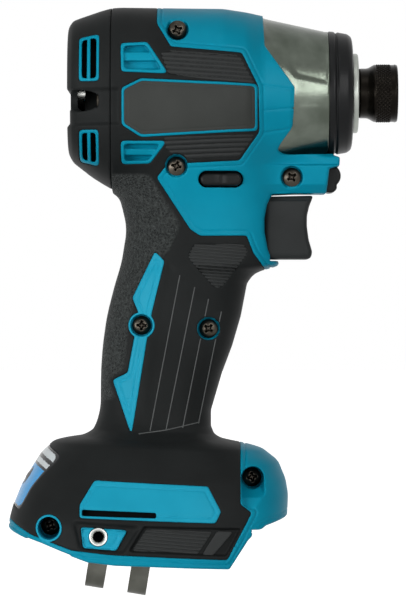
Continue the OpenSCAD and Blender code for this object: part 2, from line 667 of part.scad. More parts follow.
module rear_cover($fn = moulded_fn) color(teal) difference() {
    union() {
        difference() {
            union() {
                cover_form(skin, inner_n);
                intersection() {
                    cover_form(0);
                    rear_frames();
                }
            }
            intersection() {
                cover_form(wall + skin, inner_n);
                block(x_rear + wall / 2, far, far, -far, far);
            }
        }
        tube(motor_bearing_r + wall, motor_bearing_r + seat_gap, x_rear + wall / 4,
            x_rear_bearing + motor_bearing_w,
            $fn = round_fn);
        intersection() {
            cover_form(skin + edge_gap, inner_n);
            difference() {
                channel_walls();
                rod(fan_r + slide_gap, -far, far, $fn = round_fn);
            }
        }
    }
    difference() {
        rear_slots();
        rod(fan_r + wall / 2, -far, far);
    }
    rear_channels();
    block(x_split - seat_gap, far, far, -far, far);
    for (b = [-1, 1]) translate([0, b * rear_screw_y, rear_screw_z])
        rod(screw_r + slide_gap, -far, far);
}
module rear_skin() color(black) difference() {
    cover_form(0);
    cover_form(skin, inner_n);
    rear_frames();
    rear_channels();
    block(-far, x_rear + seat_gap, far, -far, far);
    block(x_split - seat_gap, far, far, -far, far);
}

// Fasteners
module screw(length) {
    difference() {
        cylinder(h = screw_head_h, r = screw_head_r);
        for (a = [0, 90]) rotate(a) translate([-screw_head_r / 2, -screw_head_r / 10, screw_head_h / 2])
            cube([screw_head_r, screw_head_r / 5, screw_head_h]);
    }
    translate([0, 0, -length]) cylinder(h = length, r = screw_r);
}
module housing_screws() color(steel) for (p = screw_shares)
    translate([screw_at(p)[0], -screw_at(p)[1], screw_at(p)[2]])
    rotate([90, 0, 0]) screw(screw_at(p)[1] + screw_grip);
module rear_screws() color(steel) for (b = [-1, 1])
    translate([x_split - screw_head_h, b * rear_screw_y, rear_screw_z])
    rotate([0, -90, 0]) screw(screw_grip);
module rating_plate() color(grey) intersection() {
    half_space(-1);
    plate_zone(0);
    difference() {
        head_form(edge_gap);
        head_form(plate_t + edge_gap);
    }
}

// Hammer case, turned, with pockets that take the housing's cheeks
bumper_seat_share = 1.3;
bumper_seat_r = bumper_r - bumper_seat_share * wall;
bumper_lip_shares = [0.7, 0.8];
o_ring_share = 1.4;
x_o_ring = x_carrier_back - o_ring_share * wall;
washer_share = 0.7;
module hammer_case() color(cast) difference() {
    turned([[bush_r, x_boss], [boss_r, x_boss], [boss_r, x_bumper], [bumper_seat_r, x_bumper],
        [bumper_seat_r, x_cone],
        [case_front_r, x_cone], [case_rear_r, x_edge], [case_rear_r - cheek_depth, x_edge],
        [case_rear_r - cheek_depth, x_carrier_back - wall], [ring_r + seat_gap, x_carrier_back - wall],
        [ring_r + seat_gap, x_pocket], [hammer_r + 2 * slide_gap, x_pocket],
            [hammer_r + 2 * slide_gap, x_hammer + wall],
        [wing_span + 2 * slide_gap, x_hammer + wall], [wing_span + 2 * slide_gap, x_face],
            [bush_r, x_face]]);
    difference() {
        rotate([90, 0, 0]) linear_extrude(far, center = true) offset(delta = edge_gap) union() {
            polygon(on_head(cheek_shares));
            translate([2 * x_chin, -chin_floor]) square([-x_lip_back - 2 * x_chin, chin_floor - chin_top]);
        }
        turned([[0, x_cone], [case_front_r - cheek_depth, x_cone], [case_rear_r - cheek_depth, x_edge],
            [case_rear_r - cheek_depth, -far], [0, -far]]);
        rod(bumper_r + edge_gap, x_cone - seat_gap, far);
    }
}
module nose_bumper() color(black) turned([[bumper_seat_r + seat_gap, x_cone], [bumper_r + wall / 4, x_cone],
    [bumper_r + wall / 4, x_cone + wall / 3], [bumper_r - wall / 4, x_cone + wall / 2],
    [bumper_r - wall / 4, x_cone + bumper_lip_shares[0] * wall],
        [bumper_r, x_cone + bumper_lip_shares[1] * wall], [bumper_r, x_bumper - wall],
    [bumper_r - wall / 2, x_bumper], [bumper_seat_r + seat_gap, x_bumper]]);
module case_o_ring() color(black) turned([[ring_r - wall, x_carrier_back - wall],
    [ring_r, x_carrier_back - wall], [ring_r, x_o_ring], [ring_r - wall, x_o_ring]]);
module anvil_bush() color(brass) tube(bush_r - seat_gap, anvil_r + turn_gap, x_face, x_boss - slide_gap);
module anvil_washer() color(steel)
    tube(wing_span * washer_share, anvil_r + slide_gap, x_face - washer_t, x_face);

// Anvil with the hex socket, two wings, the ball windows and the snap ring's groove
mouth_gap = slide_gap / 2;
hub_share = 1.5;
hub_r = hub_share * anvil_r;
pilot_hole_share = 0.7;
pilot_share = 0.6;
ball_seat_share = 0.78;
x_ball = x_sleeve * ball_seat_share;
sleeve_ball_r = anvil_r / 4;
snap_share = 0.05;
x_snap = x_sleeve * snap_share;
snap_w = sleeve_length / 14;
module anvil() color(steel) difference() {
    union() {
        rod(anvil_r, x_wing_back, -mouth_gap);
        rod(hub_r, x_wing_back, x_wing);
        intersection() {
            rod(wing_span, x_wing_back, x_wing);
            block(x_wing_back - wall, x_wing + wall, 2 * far, -wing_width / 2, wing_width / 2);
        }
    }
    translate([-socket_depth, 0, 0]) rotate([0, 90, 0])
        cylinder(h = 2 * socket_depth, r = socket_flats / 2 / cos(30), $fn = 6);
    rod(pilot_r + turn_gap, x_wing_back - wall, x_wing_back + pilot_hole_share * wing_length);
    translate([x_ball, 0, 0]) cylinder(h = 4 * anvil_r, r = sleeve_ball_r + turn_gap, center = true);
    difference() {
        rod(2 * anvil_r, x_snap - snap_w, x_snap);
        rod(anvil_r - snap_w / 2, -far, far);
    }
}

// Bit sleeve and what it covers
x_shoulder = x_ball + sleeve_ball_r;
sleeve_bore_r = sleeve_neck_r - wall / 4;
sleeve_shares = [0.78, 0.52, 0.1];
module bit_sleeve() color(steel) turned([[anvil_r + sleeve_ball_r, x_sleeve], [sleeve_neck_r, x_sleeve],
    [sleeve_neck_r, x_sleeve * sleeve_shares[0]], [sleeve_r, x_sleeve * sleeve_shares[1]],
        [sleeve_r, x_sleeve * sleeve_shares[2]], [sleeve_r - wall / 3, 0],
    [sleeve_bore_r, 0], [sleeve_bore_r, x_shoulder], [anvil_r + turn_gap, x_shoulder],
        [anvil_r + turn_gap, x_ball - sleeve_ball_r],
    [anvil_r + sleeve_ball_r, x_ball - sleeve_ball_r]]);
module sleeve_balls() color(steel) for (s = [-1, 1])
    translate([x_ball, 0, s * (anvil_r - sleeve_ball_r - turn_gap)])
    sphere(r = sleeve_ball_r);
module snap_ring() color(steel) difference() {
    tube(anvil_r + snap_w / 2, anvil_r - snap_w / 2 + seat_gap, x_snap - snap_w + seat_gap,
        x_snap - seat_gap);
    block(-far, far, wing_width / 4, 0, far);
}
x_sleeve_washer = x_snap - snap_w;
module sleeve_washer() color(steel)
    tube(sleeve_bore_r - slide_gap, anvil_r + turn_gap, x_sleeve_washer - snap_w / 2, x_sleeve_washer);

// Coil of round wire along X, as one unbroken tube
coil_steps = 10;
coil_sides = 6;
function coil_point(i, j, r, wire, from, to, turns) =
    let (t = 360 * i / coil_steps, a = 360 * j / coil_sides)
    [from + (to - from) * i / (turns * coil_steps) + wire * sin(a), (r + wire * cos(a)) * cos(t),
        (r + wire * cos(a)) * sin(t)];
module coil(r, wire, from, to, turns) {
    n = turns * coil_steps;
    points = [for (i = [0 : n], j = [0 : coil_sides - 1]) coil_point(i, j, r, wire, from, to, turns)];
    sides = [for (i = [0 : n - 1], j = [0 : coil_sides - 1]) let (k = (j + 1) % coil_sides)
        [i * coil_sides + j, i * coil_sides + k, (i + 1) * coil_sides + k, (i + 1) * coil_sides + j]];
    polyhedron(points, concat(sides, [[for (j = [coil_sides - 1 : -1 : 0]) j],
        [for (j = [0 : coil_sides - 1]) n * coil_sides + j]]));
    echo(least_gap = (to - from) / turns - 2 * wire);
}
sleeve_wire_r = (sleeve_bore_r - anvil_r) / 4;
sleeve_turns = 3;
module sleeve_spring() color(steel) coil((sleeve_bore_r + anvil_r) / 2, sleeve_wire_r,
    x_shoulder + sleeve_wire_r, x_sleeve_washer - snap_w / 2 - sleeve_wire_r, sleeve_turns);

// Hammer with two lugs, ball grooves in the bore and a spring chamber at the rear
chamber_r = hammer_coil_r + hammer_wire_r + 2 * slide_gap;
chamber_share = 0.58;
x_chamber = x_hammer_back + chamber_share * hammer_length;
x_cam = x_hammer - cam_ball_r - wall;
lug_angle = 46;
module hammer() color(steel) difference() {
    union() {
        rod(hammer_r, x_hammer_back, x_hammer);
        for (s = [0, 180]) rotate([s, 0, 0]) intersection() {
            tube(wing_span, hub_r + slide_gap, x_hammer - seat_gap, x_hammer + lug_length);
            block(-far, far, 2 * wing_span * sin(lug_angle / 2), 0, far);
        }
    }
    rod(spindle_r + turn_gap, -far, far);
    rod(chamber_r, -far, x_chamber);
    for (s = [-1, 1]) translate([x_cam, 0, s * spindle_r]) {
        sphere(r = cam_ball_r + turn_gap);
        rotate([0, 90, 0]) cylinder(h = far, r = cam_ball_r + turn_gap);
    }
    translate([x_chamber, 0, 0]) rotate([0, 90, 0]) rotate_extrude() translate([hammer_coil_r, 0])
        circle(r = thrust_ball_r + turn_gap);
}
module thrust_balls() color(steel) for (i = [0 : thrust_balls_n - 1])
    rotate([360 * i / thrust_balls_n, 0, 0])
    translate([x_chamber, hammer_coil_r, 0]) sphere(r = thrust_ball_r);
x_seat = x_chamber - thrust_ball_r - turn_gap;
module spring_washer() color(steel) tube(chamber_r - slide_gap, hammer_coil_r - hammer_wire_r - slide_gap,
    x_seat - washer_t, x_seat);
module hammer_spring() color(steel) coil(hammer_coil_r, hammer_wire_r, x_carrier + hammer_wire_r + turn_gap,
    x_seat - washer_t - hammer_wire_r - turn_gap, hammer_turns);
module cam_balls() color(steel) for (s = [-1, 1]) translate([x_cam, 0, s * spindle_r])
    sphere(r = cam_ball_r);

// Spindle with the planet carrier; each cam groove is a V of two slanted cuts
groove_lean = 32;
module spindle() color(steel) difference() {
    union() {
        rod(pilot_r, x_wing_back - wall, x_wing_back + pilot_share * wing_length);
        rod(spindle_r, x_carrier - wall, x_wing_back - slide_gap);
        rod(carrier_r, x_carrier_back, x_carrier);
        rod(spindle_journal_r - seat_gap, x_journal, x_carrier_back + wall);
    }
    for (s = [-1, 1]) {
        translate([x_pocket_back, s * planet_orbit, 0]) rotate([0, 90, 0])
            cylinder(h = x_pocket - x_pocket_back, r = planet_tip_r + slide_gap);
        translate([0, s * planet_orbit, 0])
            rod(planet_pin_r + seat_gap, x_carrier_back - wall, x_carrier + wall);
        translate([x_cam, 0, s * spindle_r]) sphere(r = cam_ball_r + turn_gap);
        for (g = [-1, 1]) translate([x_cam, 0, s * spindle_r]) rotate([0, 0, 180 + g * groove_lean])
            rotate([0, 90, 0])
            cylinder(h = hammer_travel, r = cam_ball_r + turn_gap);
    }
    rod(sun_tip_r + 2 * slide_gap, -far, x_pocket + slide_gap);
}
module planet_pins() color(steel) for (s = [-1, 1]) translate([0, s * planet_orbit, 0])
    rod(planet_pin_r, x_carrier_back + slide_gap, x_carrier - slide_gap);

// Involute teeth
flank_steps = 4;
function involute(a) = tan(a) * 180 / PI - a;
function half_tooth(r, teeth, play) =
    let (pitch_r = gear_module * teeth / 2, base_r = pitch_r * cos(pressure_angle))
    90 / teeth + involute(pressure_angle) - involute(acos(min(1, base_r / r))) - play / 4 / r * 180 / PI;
function tooth_points(teeth, tip_r, root_r, play) = let (
    base_r = gear_module * teeth / 2 * cos(pressure_angle), low = max(root_r, base_r),
    radii = [for (i = [0 : flank_steps]) low + (tip_r - low) * i / flank_steps],
    rise = [for (r = radii) [r, -half_tooth(r, teeth, play)]],
    fall = [for (i = [flank_steps : -1 : 0]) [radii[i], half_tooth(radii[i], teeth, play)]],
    foot = half_tooth(low, teeth, play),
    all = root_r < low ? concat([[root_r, -foot]], rise, fall, [[root_r, foot]]) : concat(rise, fall))
    [for (i = [0 : teeth - 1], p = all) p[0] * [cos(p[1] + 360 * i / teeth), sin(p[1] + 360 * i / teeth)]];
sun_r = gear_module * sun_teeth / 2;
planet_r = gear_module * planet_teeth / 2;
sun_tip_r = sun_r + addendum;
planet_tip_r = planet_r + addendum;
x_planet = x_pocket - slide_gap - planet_width;
module gear_prism(points, x_from, x_to) translate([x_from, 0, 0]) rotate([90, 0, 90])
    linear_extrude(x_to - x_from)
    polygon(points);
module planet(s) color(steel) translate([0, s * planet_orbit, 0]) difference() {
    gear_prism(tooth_points(planet_teeth, planet_tip_r, planet_r - dedendum, tooth_play), x_planet,
        x_planet + planet_width);
    rod(planet_pin_r + turn_gap, -far, far);
}
module planet_gear_1() planet(1);
module planet_gear_2() planet(-1);
module ring_gear() color(steel) difference() {
    rod(ring_r, x_pocket_back - slide_gap, x_pocket - seat_gap);
    gear_prism(tooth_points(ring_teeth, ring_pitch_r + dedendum, ring_pitch_r - addendum, -tooth_play),
        x_pocket_back - wall, x_pocket + wall);
}

// Bearing box that closes the hammer case, and the bearings
box_r = carrier_r + slide_gap;
x_box_rim = x_pocket_back - slide_gap - seat_gap;
module bearing_box() color(cast) difference() {
    turned([[0, x_box], [box_r, x_box], [box_r, x_o_ring], [ring_r - wall - seat_gap, x_o_ring],
        [ring_r - wall - seat_gap, x_carrier_back - wall + seat_gap],
            [ring_r, x_carrier_back - wall + seat_gap], [ring_r, x_box_rim], [0, x_box_rim]]);
    rod(carrier_r + 2 * slide_gap, x_carrier_back - slide_gap, far);
    rod(spindle_bearing_r + seat_gap, x_journal - seat_gap, far);
    rod(sun_tip_r + 2 * slide_gap, -far, far);
    rod(motor_bearing_r + seat_gap, -far, x_web);
}
ball_share = 0.42;
module ball_bearing(outer, inner, x_from, width, n) {
    gap = outer - inner;
    mid = (outer + inner) / 2;
    ball = gap * ball_share / 2;
    difference() {
        union() {
            tube(outer, mid + ball / 2, x_from, x_from + width);
            tube(mid - ball / 2, inner, x_from, x_from + width);
        }
        translate([x_from + width / 2, 0, 0]) rotate([0, 90, 0]) rotate_extrude() translate([mid, 0])
            circle(r = ball + seat_gap);
    }
    for (i = [0 : n - 1]) rotate([360 * i / n, 0, 0]) translate([x_from + width / 2, mid, 0])
        sphere(r = ball);
}
bearing_balls_n = 9;
spindle_balls_n = 15;
module spindle_bearing() color(steel)
    ball_bearing(spindle_bearing_r, spindle_journal_r + turn_gap, x_journal, spindle_bearing_w - seat_gap,
        spindle_balls_n);
module front_bearing() color(steel)
    ball_bearing(motor_bearing_r, shaft_r + turn_gap, x_front_bearing, motor_bearing_w - seat_gap,
        bearing_balls_n);
module rear_bearing() color(steel)
    ball_bearing(motor_bearing_r, shaft_r + turn_gap, x_rear_bearing, motor_bearing_w - seat_gap,
        bearing_balls_n);

// Motor
module rotor_shaft() color(steel) {
    rod(shaft_r, x_rear_bearing, x_pocket_back);
    gear_prism(tooth_points(sun_teeth, sun_tip_r, sun_r - dedendum, tooth_play),
        x_pocket_back - slide_gap, x_pocket - slide_gap);
}
magnet_t = rotor_r / 5;
magnet_w = rotor_r;
magnet_share = 0.6;
magnet_orbit = rotor_r * magnet_share;
module magnet_slots(grow) for (a = [0 : 90 : 270]) rotate([a, 0, 0])
    translate([x_core - grow, -magnet_w / 2 - grow, magnet_orbit - grow])
    cube([core_length + 2 * grow, magnet_w + 2 * grow, magnet_t + 2 * grow]);
module rotor_core() color(cast) difference() {
    tube(rotor_r, shaft_r + seat_gap, x_core, x_core_front);
    magnet_slots(seat_gap);
}
module rotor_magnets() color(black) magnet_slots(0);
blade_lean = 35;
module fan() color(black) difference() {
    union() {
        rod(fan_r, x_fan + fan_width - wall / 2, x_fan + fan_width);
        rod(shaft_r + wall, x_fan, x_fan + fan_width);
        intersection() {
            rod(fan_r, x_fan, x_fan + fan_width);
            for (i = [0 : fan_blades - 1]) rotate([360 * i / fan_blades, 0, 0])
                translate([x_fan, fan_r / 2, 0])
                rotate([blade_lean, 0, 0]) cube([fan_width, fan_r, wall / 3]);
        }
    }
    rod(shaft_r + seat_gap, -far, far);
}
tooth_share = 0.2174;
insulator_share = 0.6;
tooth_w = stator_r * tooth_share;
yoke_t = stator_r / 5;
shoe_t = stator_r / 12;
stator_bore_r = rotor_r + air_gap;
module stator_teeth(from, to, grow) for (i = [0 : stator_slots - 1]) rotate([360 * i / stator_slots, 0, 0])
    block(from, to, tooth_w + 2 * grow, stator_bore_r + shoe_t / 2, stator_r - yoke_t / 2);
shoe_angle = 46;
module stator_core() color(cast) {
    difference() {
        union() {
            tube(stator_r, stator_r - yoke_t, x_core, x_core_front);
            stator_teeth(x_core, x_core_front, 0);
            intersection() {
                tube(stator_bore_r + shoe_t, stator_bore_r, x_core, x_core_front);
                for (i = [0 : stator_slots - 1]) rotate([360 * i / stator_slots, 0, 0])
                    block(x_core, x_core_front, 2 * stator_bore_r * sin(shoe_angle / 2), 0, stator_r);
            }
        }
        rod(stator_bore_r, -far, far);
    }
}
coil_low = stator_bore_r + shoe_t + seat_gap;
coil_high = stator_r - yoke_t - seat_gap - tooth_w / 5;
coil_t = tooth_w / 3;
module stator_windings() color(copper) for (i = [0 : stator_slots - 1])
    rotate([360 * i / stator_slots, 0, 0]) difference() {
    block(x_coil, x_core_front + coil_reach, tooth_w + 2 * coil_t, coil_low, coil_high);
    block(x_core - coil_t, x_core_front + coil_t, tooth_w + 2 * seat_gap, coil_low - wall,
        coil_high + wall);
}
module stator_insulators() color(white) for (x = [x_core - coil_t / 2 - seat_gap, x_core_front + seat_gap])
    difference() {
        tube(stator_r - insulator_share * yoke_t, coil_high + yoke_t / 3, x, x + coil_t / 2);
        for (i = [0 : stator_slots - 1]) rotate([360 * i / stator_slots, 0, 0])
            block(-far, far, tooth_w + 2 * coil_t + 2 * seat_gap, 0, coil_high + seat_gap);
    }
module sensor_board() color(board) {
    tube(stator_r, motor_bearing_r + wall, x_sensor, x_sensor + board_t);
    for (a = [-120, 0, 120]) rotate([a, 0, 0])
        block(x_sensor - board_t, x_sensor, 2 * board_t, rotor_r - 2 * board_t, rotor_r);
}

// Switch, trigger and direction lever
arm_w = lever_height / 2;
module switch_body() color(black) difference() {
    block(x_switch - switch_length, x_switch, switch_width, -switch_top - switch_height, -switch_top);
    translate([0, 0, -trigger_drop]) rod(plunger_r + slide_gap, x_switch - switch_length + wall, far);
    block(-lever_setback - arm_w, -lever_setback + arm_w, 2 * (lever_travel + arm_w), -switch_top - wall,
        0);
}
module trigger() color(black) {
    rotate([90, 0, 0]) linear_extrude(trigger_width, center = true) offset(r = trigger_round)
        offset(delta = -trigger_round)
        trigger_outline(0, $fn = 2 * $fn);
    translate([0, 0, -trigger_drop])
        rod(plunger_r, x_switch - switch_length / 3, trigger_x - trigger_back_r + 2 * wall);
}
lever_out_share = 0.67;
lever_reach = lever_out_share * grip_width;
module direction_lever() color(black) {
    translate([-lever_setback, 0, -lever_drop]) rotate([90, 0, 0])
        linear_extrude(2 * lever_reach, center = true)
        pill(lever_length, lever_height);
    block(-lever_setback - arm_w + slide_gap, -lever_setback + arm_w - slide_gap, arm_w,
        -switch_top - wall + slide_gap, -lever_drop);
}

// Job lamp
lamp_z = -chin_floor + slide_gap;
lamp_shares = [0.4, 0.45];
module lamp_lens() color(black) {
    across([[x_chin, lamp_z], [x_chin + lamp_reach * lamp_shares[0], lamp_z],
        [x_chin + lamp_reach, lamp_z + lamp_height * lamp_shares[1]],
        [x_chin + lamp_reach, lamp_z + lamp_height], [x_chin, lamp_z + lamp_height]], lamp_width);
    block(x_chin - lamp_reach / 2, x_chin, lamp_width - 4 * slide_gap, lamp_z + 2 * slide_gap,
        lamp_z + lamp_height - 2 * slide_gap);
}
module lamp_board() color(board)
    block(x_chin - lamp_reach / 2 - slide_gap - board_t, x_chin - lamp_reach / 2 - slide_gap,
    lamp_width - 4 * slide_gap, lamp_z + 2 * slide_gap, lamp_z + lamp_height - 2 * slide_gap);

// Foot electronics
controller_shares = [-0.42, 0.47, 1.1, 0.22];
tray_shares = [0.04, 0.1];
module controller() color(black) at_foot() difference() {
    block(controller_shares[0] * foot_reach, controller_shares[1] * foot_reach,
        controller_shares[2] * foot_half_width,
        bay_height + wall + slide_gap, bay_height + wall + slide_gap + controller_shares[3] * foot_height);
    block((controller_shares[0] + tray_shares[0]) * foot_reach,
        (controller_shares[1] - tray_shares[0]) * foot_reach,
        controller_shares[2] * foot_half_width - wall,
            bay_height + 2 * wall + tray_shares[1] * foot_height, far);
}
terminal_shares = [-0.55, 0.15];
terminal_width_share = 0.62;
blade_share = 0.6;
terminal_half_w = bay_half_width * terminal_width_share;
blade_offset = terminal_half_w * blade_share;
lead_back = terminal_shares[0] * foot_reach + wall;
module lead_holes() at_foot() for (s = [-1, 1])
    translate([lead_back, s * blade_offset, rail_thickness + wall / 3])
    cylinder(h = lead_rise - rail_thickness, r = lead_r + slide_gap);
module terminal_block() color(black) difference() {
    at_foot() difference() {
        block(terminal_shares[0] * foot_reach, terminal_shares[1] * foot_reach, 2 * terminal_half_w,
            rail_thickness,
            bay_height - seat_gap);
        for (s = [-1, 1]) translate([0, s * blade_offset, 0])
            block(terminal_shares[0] * foot_reach + 2 * wall, foot_reach, wall + 2 * seat_gap, 0,
                bay_height - wall);
    }
    lead_holes();
}
module terminal_blades() color(brass) at_foot() for (s = [-1, 1]) translate([0, s * blade_offset, 0])
    block(terminal_shares[0] * foot_reach + 2 * wall + seat_gap, terminal_shares[1] * foot_reach - wall,
        wall / 2,
        rail_thickness + wall / 2, bay_height - wall - seat_gap);

// Mode panel, its buttons and its board
module mode_panel() color(white) difference() {
    intersection() {
        panel_zone(0);
        difference() {
            foot_form(0);
            foot_form(skin, inner_n);
        }
        at_foot() block(-2 * foot_reach, 0, far, 0, far);
    }
    for (b = [-1, 1]) button_rod(b, button_r + slide_gap, -far / 4, far / 4);
}
button_out = skin / 2;
x_board_in = -3 * wall;
mode_board_shares = [0.55, 0.75];
module power_button() color(black)
    button_rod(-1, button_r, x_board_in + slide_gap + button_travel, button_out);
module light_button() color(black)
    button_rod(1, button_r, x_board_in + slide_gap + button_travel, button_out);
module mode_board() color(board) at_panel() translate([0, 0, x_board_in - board_t / 2])
    cube([panel_height * mode_board_shares[0], panel_width * mode_board_shares[1], board_t], center = true);

// Belt hook on the left side
module at_hook() at_foot() translate([insert_at[0], foot_half_width + slide_gap, insert_at[1]])
    rotate([0, hook_lean, 0]) children();
hook_top_share = 2.4;
hook_top = insert_r * hook_top_share;
hook_offset_share = 0.34;
hook_offset = hook_offset_share * hook_width;
hook_slot_share = 0.62;
module hook_profile() {
    translate([0, -hook_depth]) square([hook_t, hook_depth + hook_top]);
    translate([hook_t + 2 * hook_bend_r, -hook_depth]) square([hook_t, hook_return]);
    difference() {
        translate([hook_t + hook_bend_r, -hook_depth]) circle(r = hook_bend_r + hook_t);
        translate([hook_t + hook_bend_r, -hook_depth]) circle(r = hook_bend_r);
        translate([-hook_depth, -hook_depth]) square(4 * hook_depth);
    }
}
module belt_hook() color(steel) at_hook() difference() {
    translate([hook_offset, 0, 0]) rotate([90, 0, 90]) linear_extrude(hook_width, center = true)
        hook_profile();
    translate([hook_offset, 0, -hook_depth - hook_bend_r - hook_t])
        cube([hook_slot, 4 * hook_depth, 2 * hook_slot_share * hook_return], center = true);
    rotate([90, 0, 0]) cylinder(h = 2 * hook_bend_r + hook_t, r = insert_bore_r + slide_gap, center = true);
    translate([0, hook_t + 2 * hook_bend_r, 0]) rotate([90, 0, 0])
        cylinder(h = 2 * hook_bend_r, r = insert_r + wall, center = true);
}
module hook_screw() color(steel) at_hook() translate([0, hook_t + seat_gap, 0]) rotate([-90, 0, 0]) {
    cylinder(h = screw_head_h, r = insert_r);
    translate([0, 0, -insert_length + wall])
        cylinder(h = insert_length - wall, r = insert_bore_r - seat_gap);
}
module hook_inserts() color(steel) at_foot() translate([insert_at[0], 0, insert_at[1]]) for (s = [0, 180])
    rotate(s)
    translate([0, -insert_face + insert_length, 0]) rotate([90, 0, 0]) difference() {
        cylinder(h = insert_length, r = insert_r);
        translate([0, 0, -wall]) cylinder(h = insert_length + 2 * wall, r = insert_bore_r);
    }

// Leads, each one round tube along a route in a plane of constant Y
lead_r = 1;
motor_route = [[-97.2, -133.3], [-96, -122], [-94.2, -112], [-93.2, -102], [-92.8, -92], [-91.6, -80],
    [-88.8, -67], [-85.8, -57], [-84.4, -48], [-83.4, -40], [-82.4, -32], [-81.9, -27], [-80.4, -24.4]];
lead_rise = bay_height + 3 * wall;
battery_route = [[lead_back, rail_thickness + wall / 2], [lead_back, bay_height],
    [lead_back, lead_rise - wall], [lead_back + wall / 4, lead_rise - wall / 3],
    [lead_back + wall / 2, lead_rise], [controller_shares[0] * foot_reach - slide_gap, lead_rise]];
lead_sides = 6;
function lead_normal(route, i) =
    let (a = route[max(0, i - 1)], b = route[min(len(route) - 1, i + 1)], d = (b - a) / norm(b - a))
    [-d[1], d[0]];
module lead(route, y) {
    n = len(route);
    points = [for (i = [0 : n - 1], j = [0 : lead_sides - 1])
        let (a = 360 * j / lead_sides, q = lead_normal(route, i) * lead_r * cos(a))
        [route[i][0] + q[0], y + lead_r * sin(a), route[i][1] + q[1]]];
    sides = [for (i = [0 : n - 2], j = [0 : lead_sides - 1]) let (k = (j + 1) % lead_sides)
        [i * lead_sides + j, i * lead_sides + k, (i + 1) * lead_sides + k, (i + 1) * lead_sides + j]];
    polyhedron(points, concat(sides, [[for (j = [lead_sides - 1 : -1 : 0]) j],
        [for (j = [0 : lead_sides - 1]) (n - 1) * lead_sides + j]]));
}
lead_pitch = 3 * lead_r;
module motor_leads() color(black) for (i = [-1 : 1]) lead(motor_route, i * lead_pitch);
module battery_leads() color(copper) at_foot() for (s = [-1, 1]) lead(battery_route, s * blade_offset);

housing_right();
housing_left();
skin_right();
skin_left();
rear_cover();
rear_skin();
rear_screws();
housing_screws();
rating_plate();
hammer_case();
nose_bumper();
case_o_ring();
anvil_bush();
anvil_washer();
anvil();
bit_sleeve();
sleeve_spring();
sleeve_balls();
sleeve_washer();
snap_ring();
hammer();
hammer_spring();
spring_washer();
thrust_balls();
cam_balls();
spindle();
planet_pins();
planet_gear_1();
planet_gear_2();
ring_gear();
bearing_box();
spindle_bearing();
front_bearing();
rear_bearing();
rotor_shaft();
rotor_core();
rotor_magnets();
fan();
stator_core();
stator_insulators();
stator_windings();
sensor_board();
switch_body();
trigger();
direction_lever();
lamp_lens();
lamp_board();
controller();
terminal_block();
terminal_blades();
mode_panel();
mode_board();
power_button();
light_button();
belt_hook();
hook_screw();
hook_inserts();
motor_leads();
battery_leads();
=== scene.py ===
"""Looks of a cordless impact driver without its battery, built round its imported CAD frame.

Moulded shapes are distance fields in millimetres, negative inside, that are meshed here.
The scene itself is in metres."""
import json
import math

import bpy
import numpy as np
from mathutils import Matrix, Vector


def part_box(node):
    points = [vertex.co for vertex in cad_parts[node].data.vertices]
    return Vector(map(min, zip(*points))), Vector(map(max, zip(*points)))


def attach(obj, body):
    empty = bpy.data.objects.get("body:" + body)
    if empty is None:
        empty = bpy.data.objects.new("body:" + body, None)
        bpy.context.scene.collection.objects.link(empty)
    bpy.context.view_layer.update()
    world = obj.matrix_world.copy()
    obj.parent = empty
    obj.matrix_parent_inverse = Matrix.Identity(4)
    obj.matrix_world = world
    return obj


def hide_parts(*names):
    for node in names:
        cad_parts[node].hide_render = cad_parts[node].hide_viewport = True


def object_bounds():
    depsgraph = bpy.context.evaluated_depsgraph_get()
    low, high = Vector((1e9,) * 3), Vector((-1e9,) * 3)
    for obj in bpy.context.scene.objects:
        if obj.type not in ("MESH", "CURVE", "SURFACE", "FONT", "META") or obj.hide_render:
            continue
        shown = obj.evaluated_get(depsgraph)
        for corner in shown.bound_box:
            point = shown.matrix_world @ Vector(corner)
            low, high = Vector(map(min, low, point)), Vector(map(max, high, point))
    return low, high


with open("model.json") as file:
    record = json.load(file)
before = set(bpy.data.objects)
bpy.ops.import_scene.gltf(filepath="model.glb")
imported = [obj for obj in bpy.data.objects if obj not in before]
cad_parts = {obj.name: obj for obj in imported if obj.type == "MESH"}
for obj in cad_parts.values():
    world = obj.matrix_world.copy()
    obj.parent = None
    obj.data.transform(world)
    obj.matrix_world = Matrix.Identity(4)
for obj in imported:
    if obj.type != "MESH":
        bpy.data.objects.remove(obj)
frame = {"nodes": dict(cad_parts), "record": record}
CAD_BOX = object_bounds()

# Scale and photo
MM = 0.001
PIXEL = 0.3375
PHOTO_SIZE = (406, 600)
ORIGIN_PIXEL = (397.0, 93.5)
CAMERA_DISTANCE = 1200.0
VIEW_X = (PHOTO_SIZE[0] / 2 - ORIGIN_PIXEL[0]) * PIXEL
VIEW_Z = (ORIGIN_PIXEL[1] - PHOTO_SIZE[1] / 2) * PIXEL
# Depth of the tool's near surface, in mm, at rows of the photo
DEPTH_ROWS = (0, 165, 200, 235, 400, 440, 480, 570)
DEPTHS = (29, 29, 23, 17, 16, 22, 35, 37)


def traced(*pixels):
    """Side outline in mm from photo pixels, each taken at the depth of the surface that it lies on."""
    pixels = np.array(pixels, float)
    near = 1 - np.interp(pixels[:, 1], DEPTH_ROWS, DEPTHS) / CAMERA_DISTANCE
    x = VIEW_X + (pixels[:, 0] - PHOTO_SIZE[0] / 2) * PIXEL * near
    z = VIEW_Z - (pixels[:, 1] - PHOTO_SIZE[1] / 2) * PIXEL * near
    return np.column_stack([x, z])


# Side outlines
SHEET_STEP = 0.2
SHEET_MARGIN = 6.0
TINY = 1e-9
# A sample place stays this far below the count of samples, so that there is always one after it
LAST = 1.001


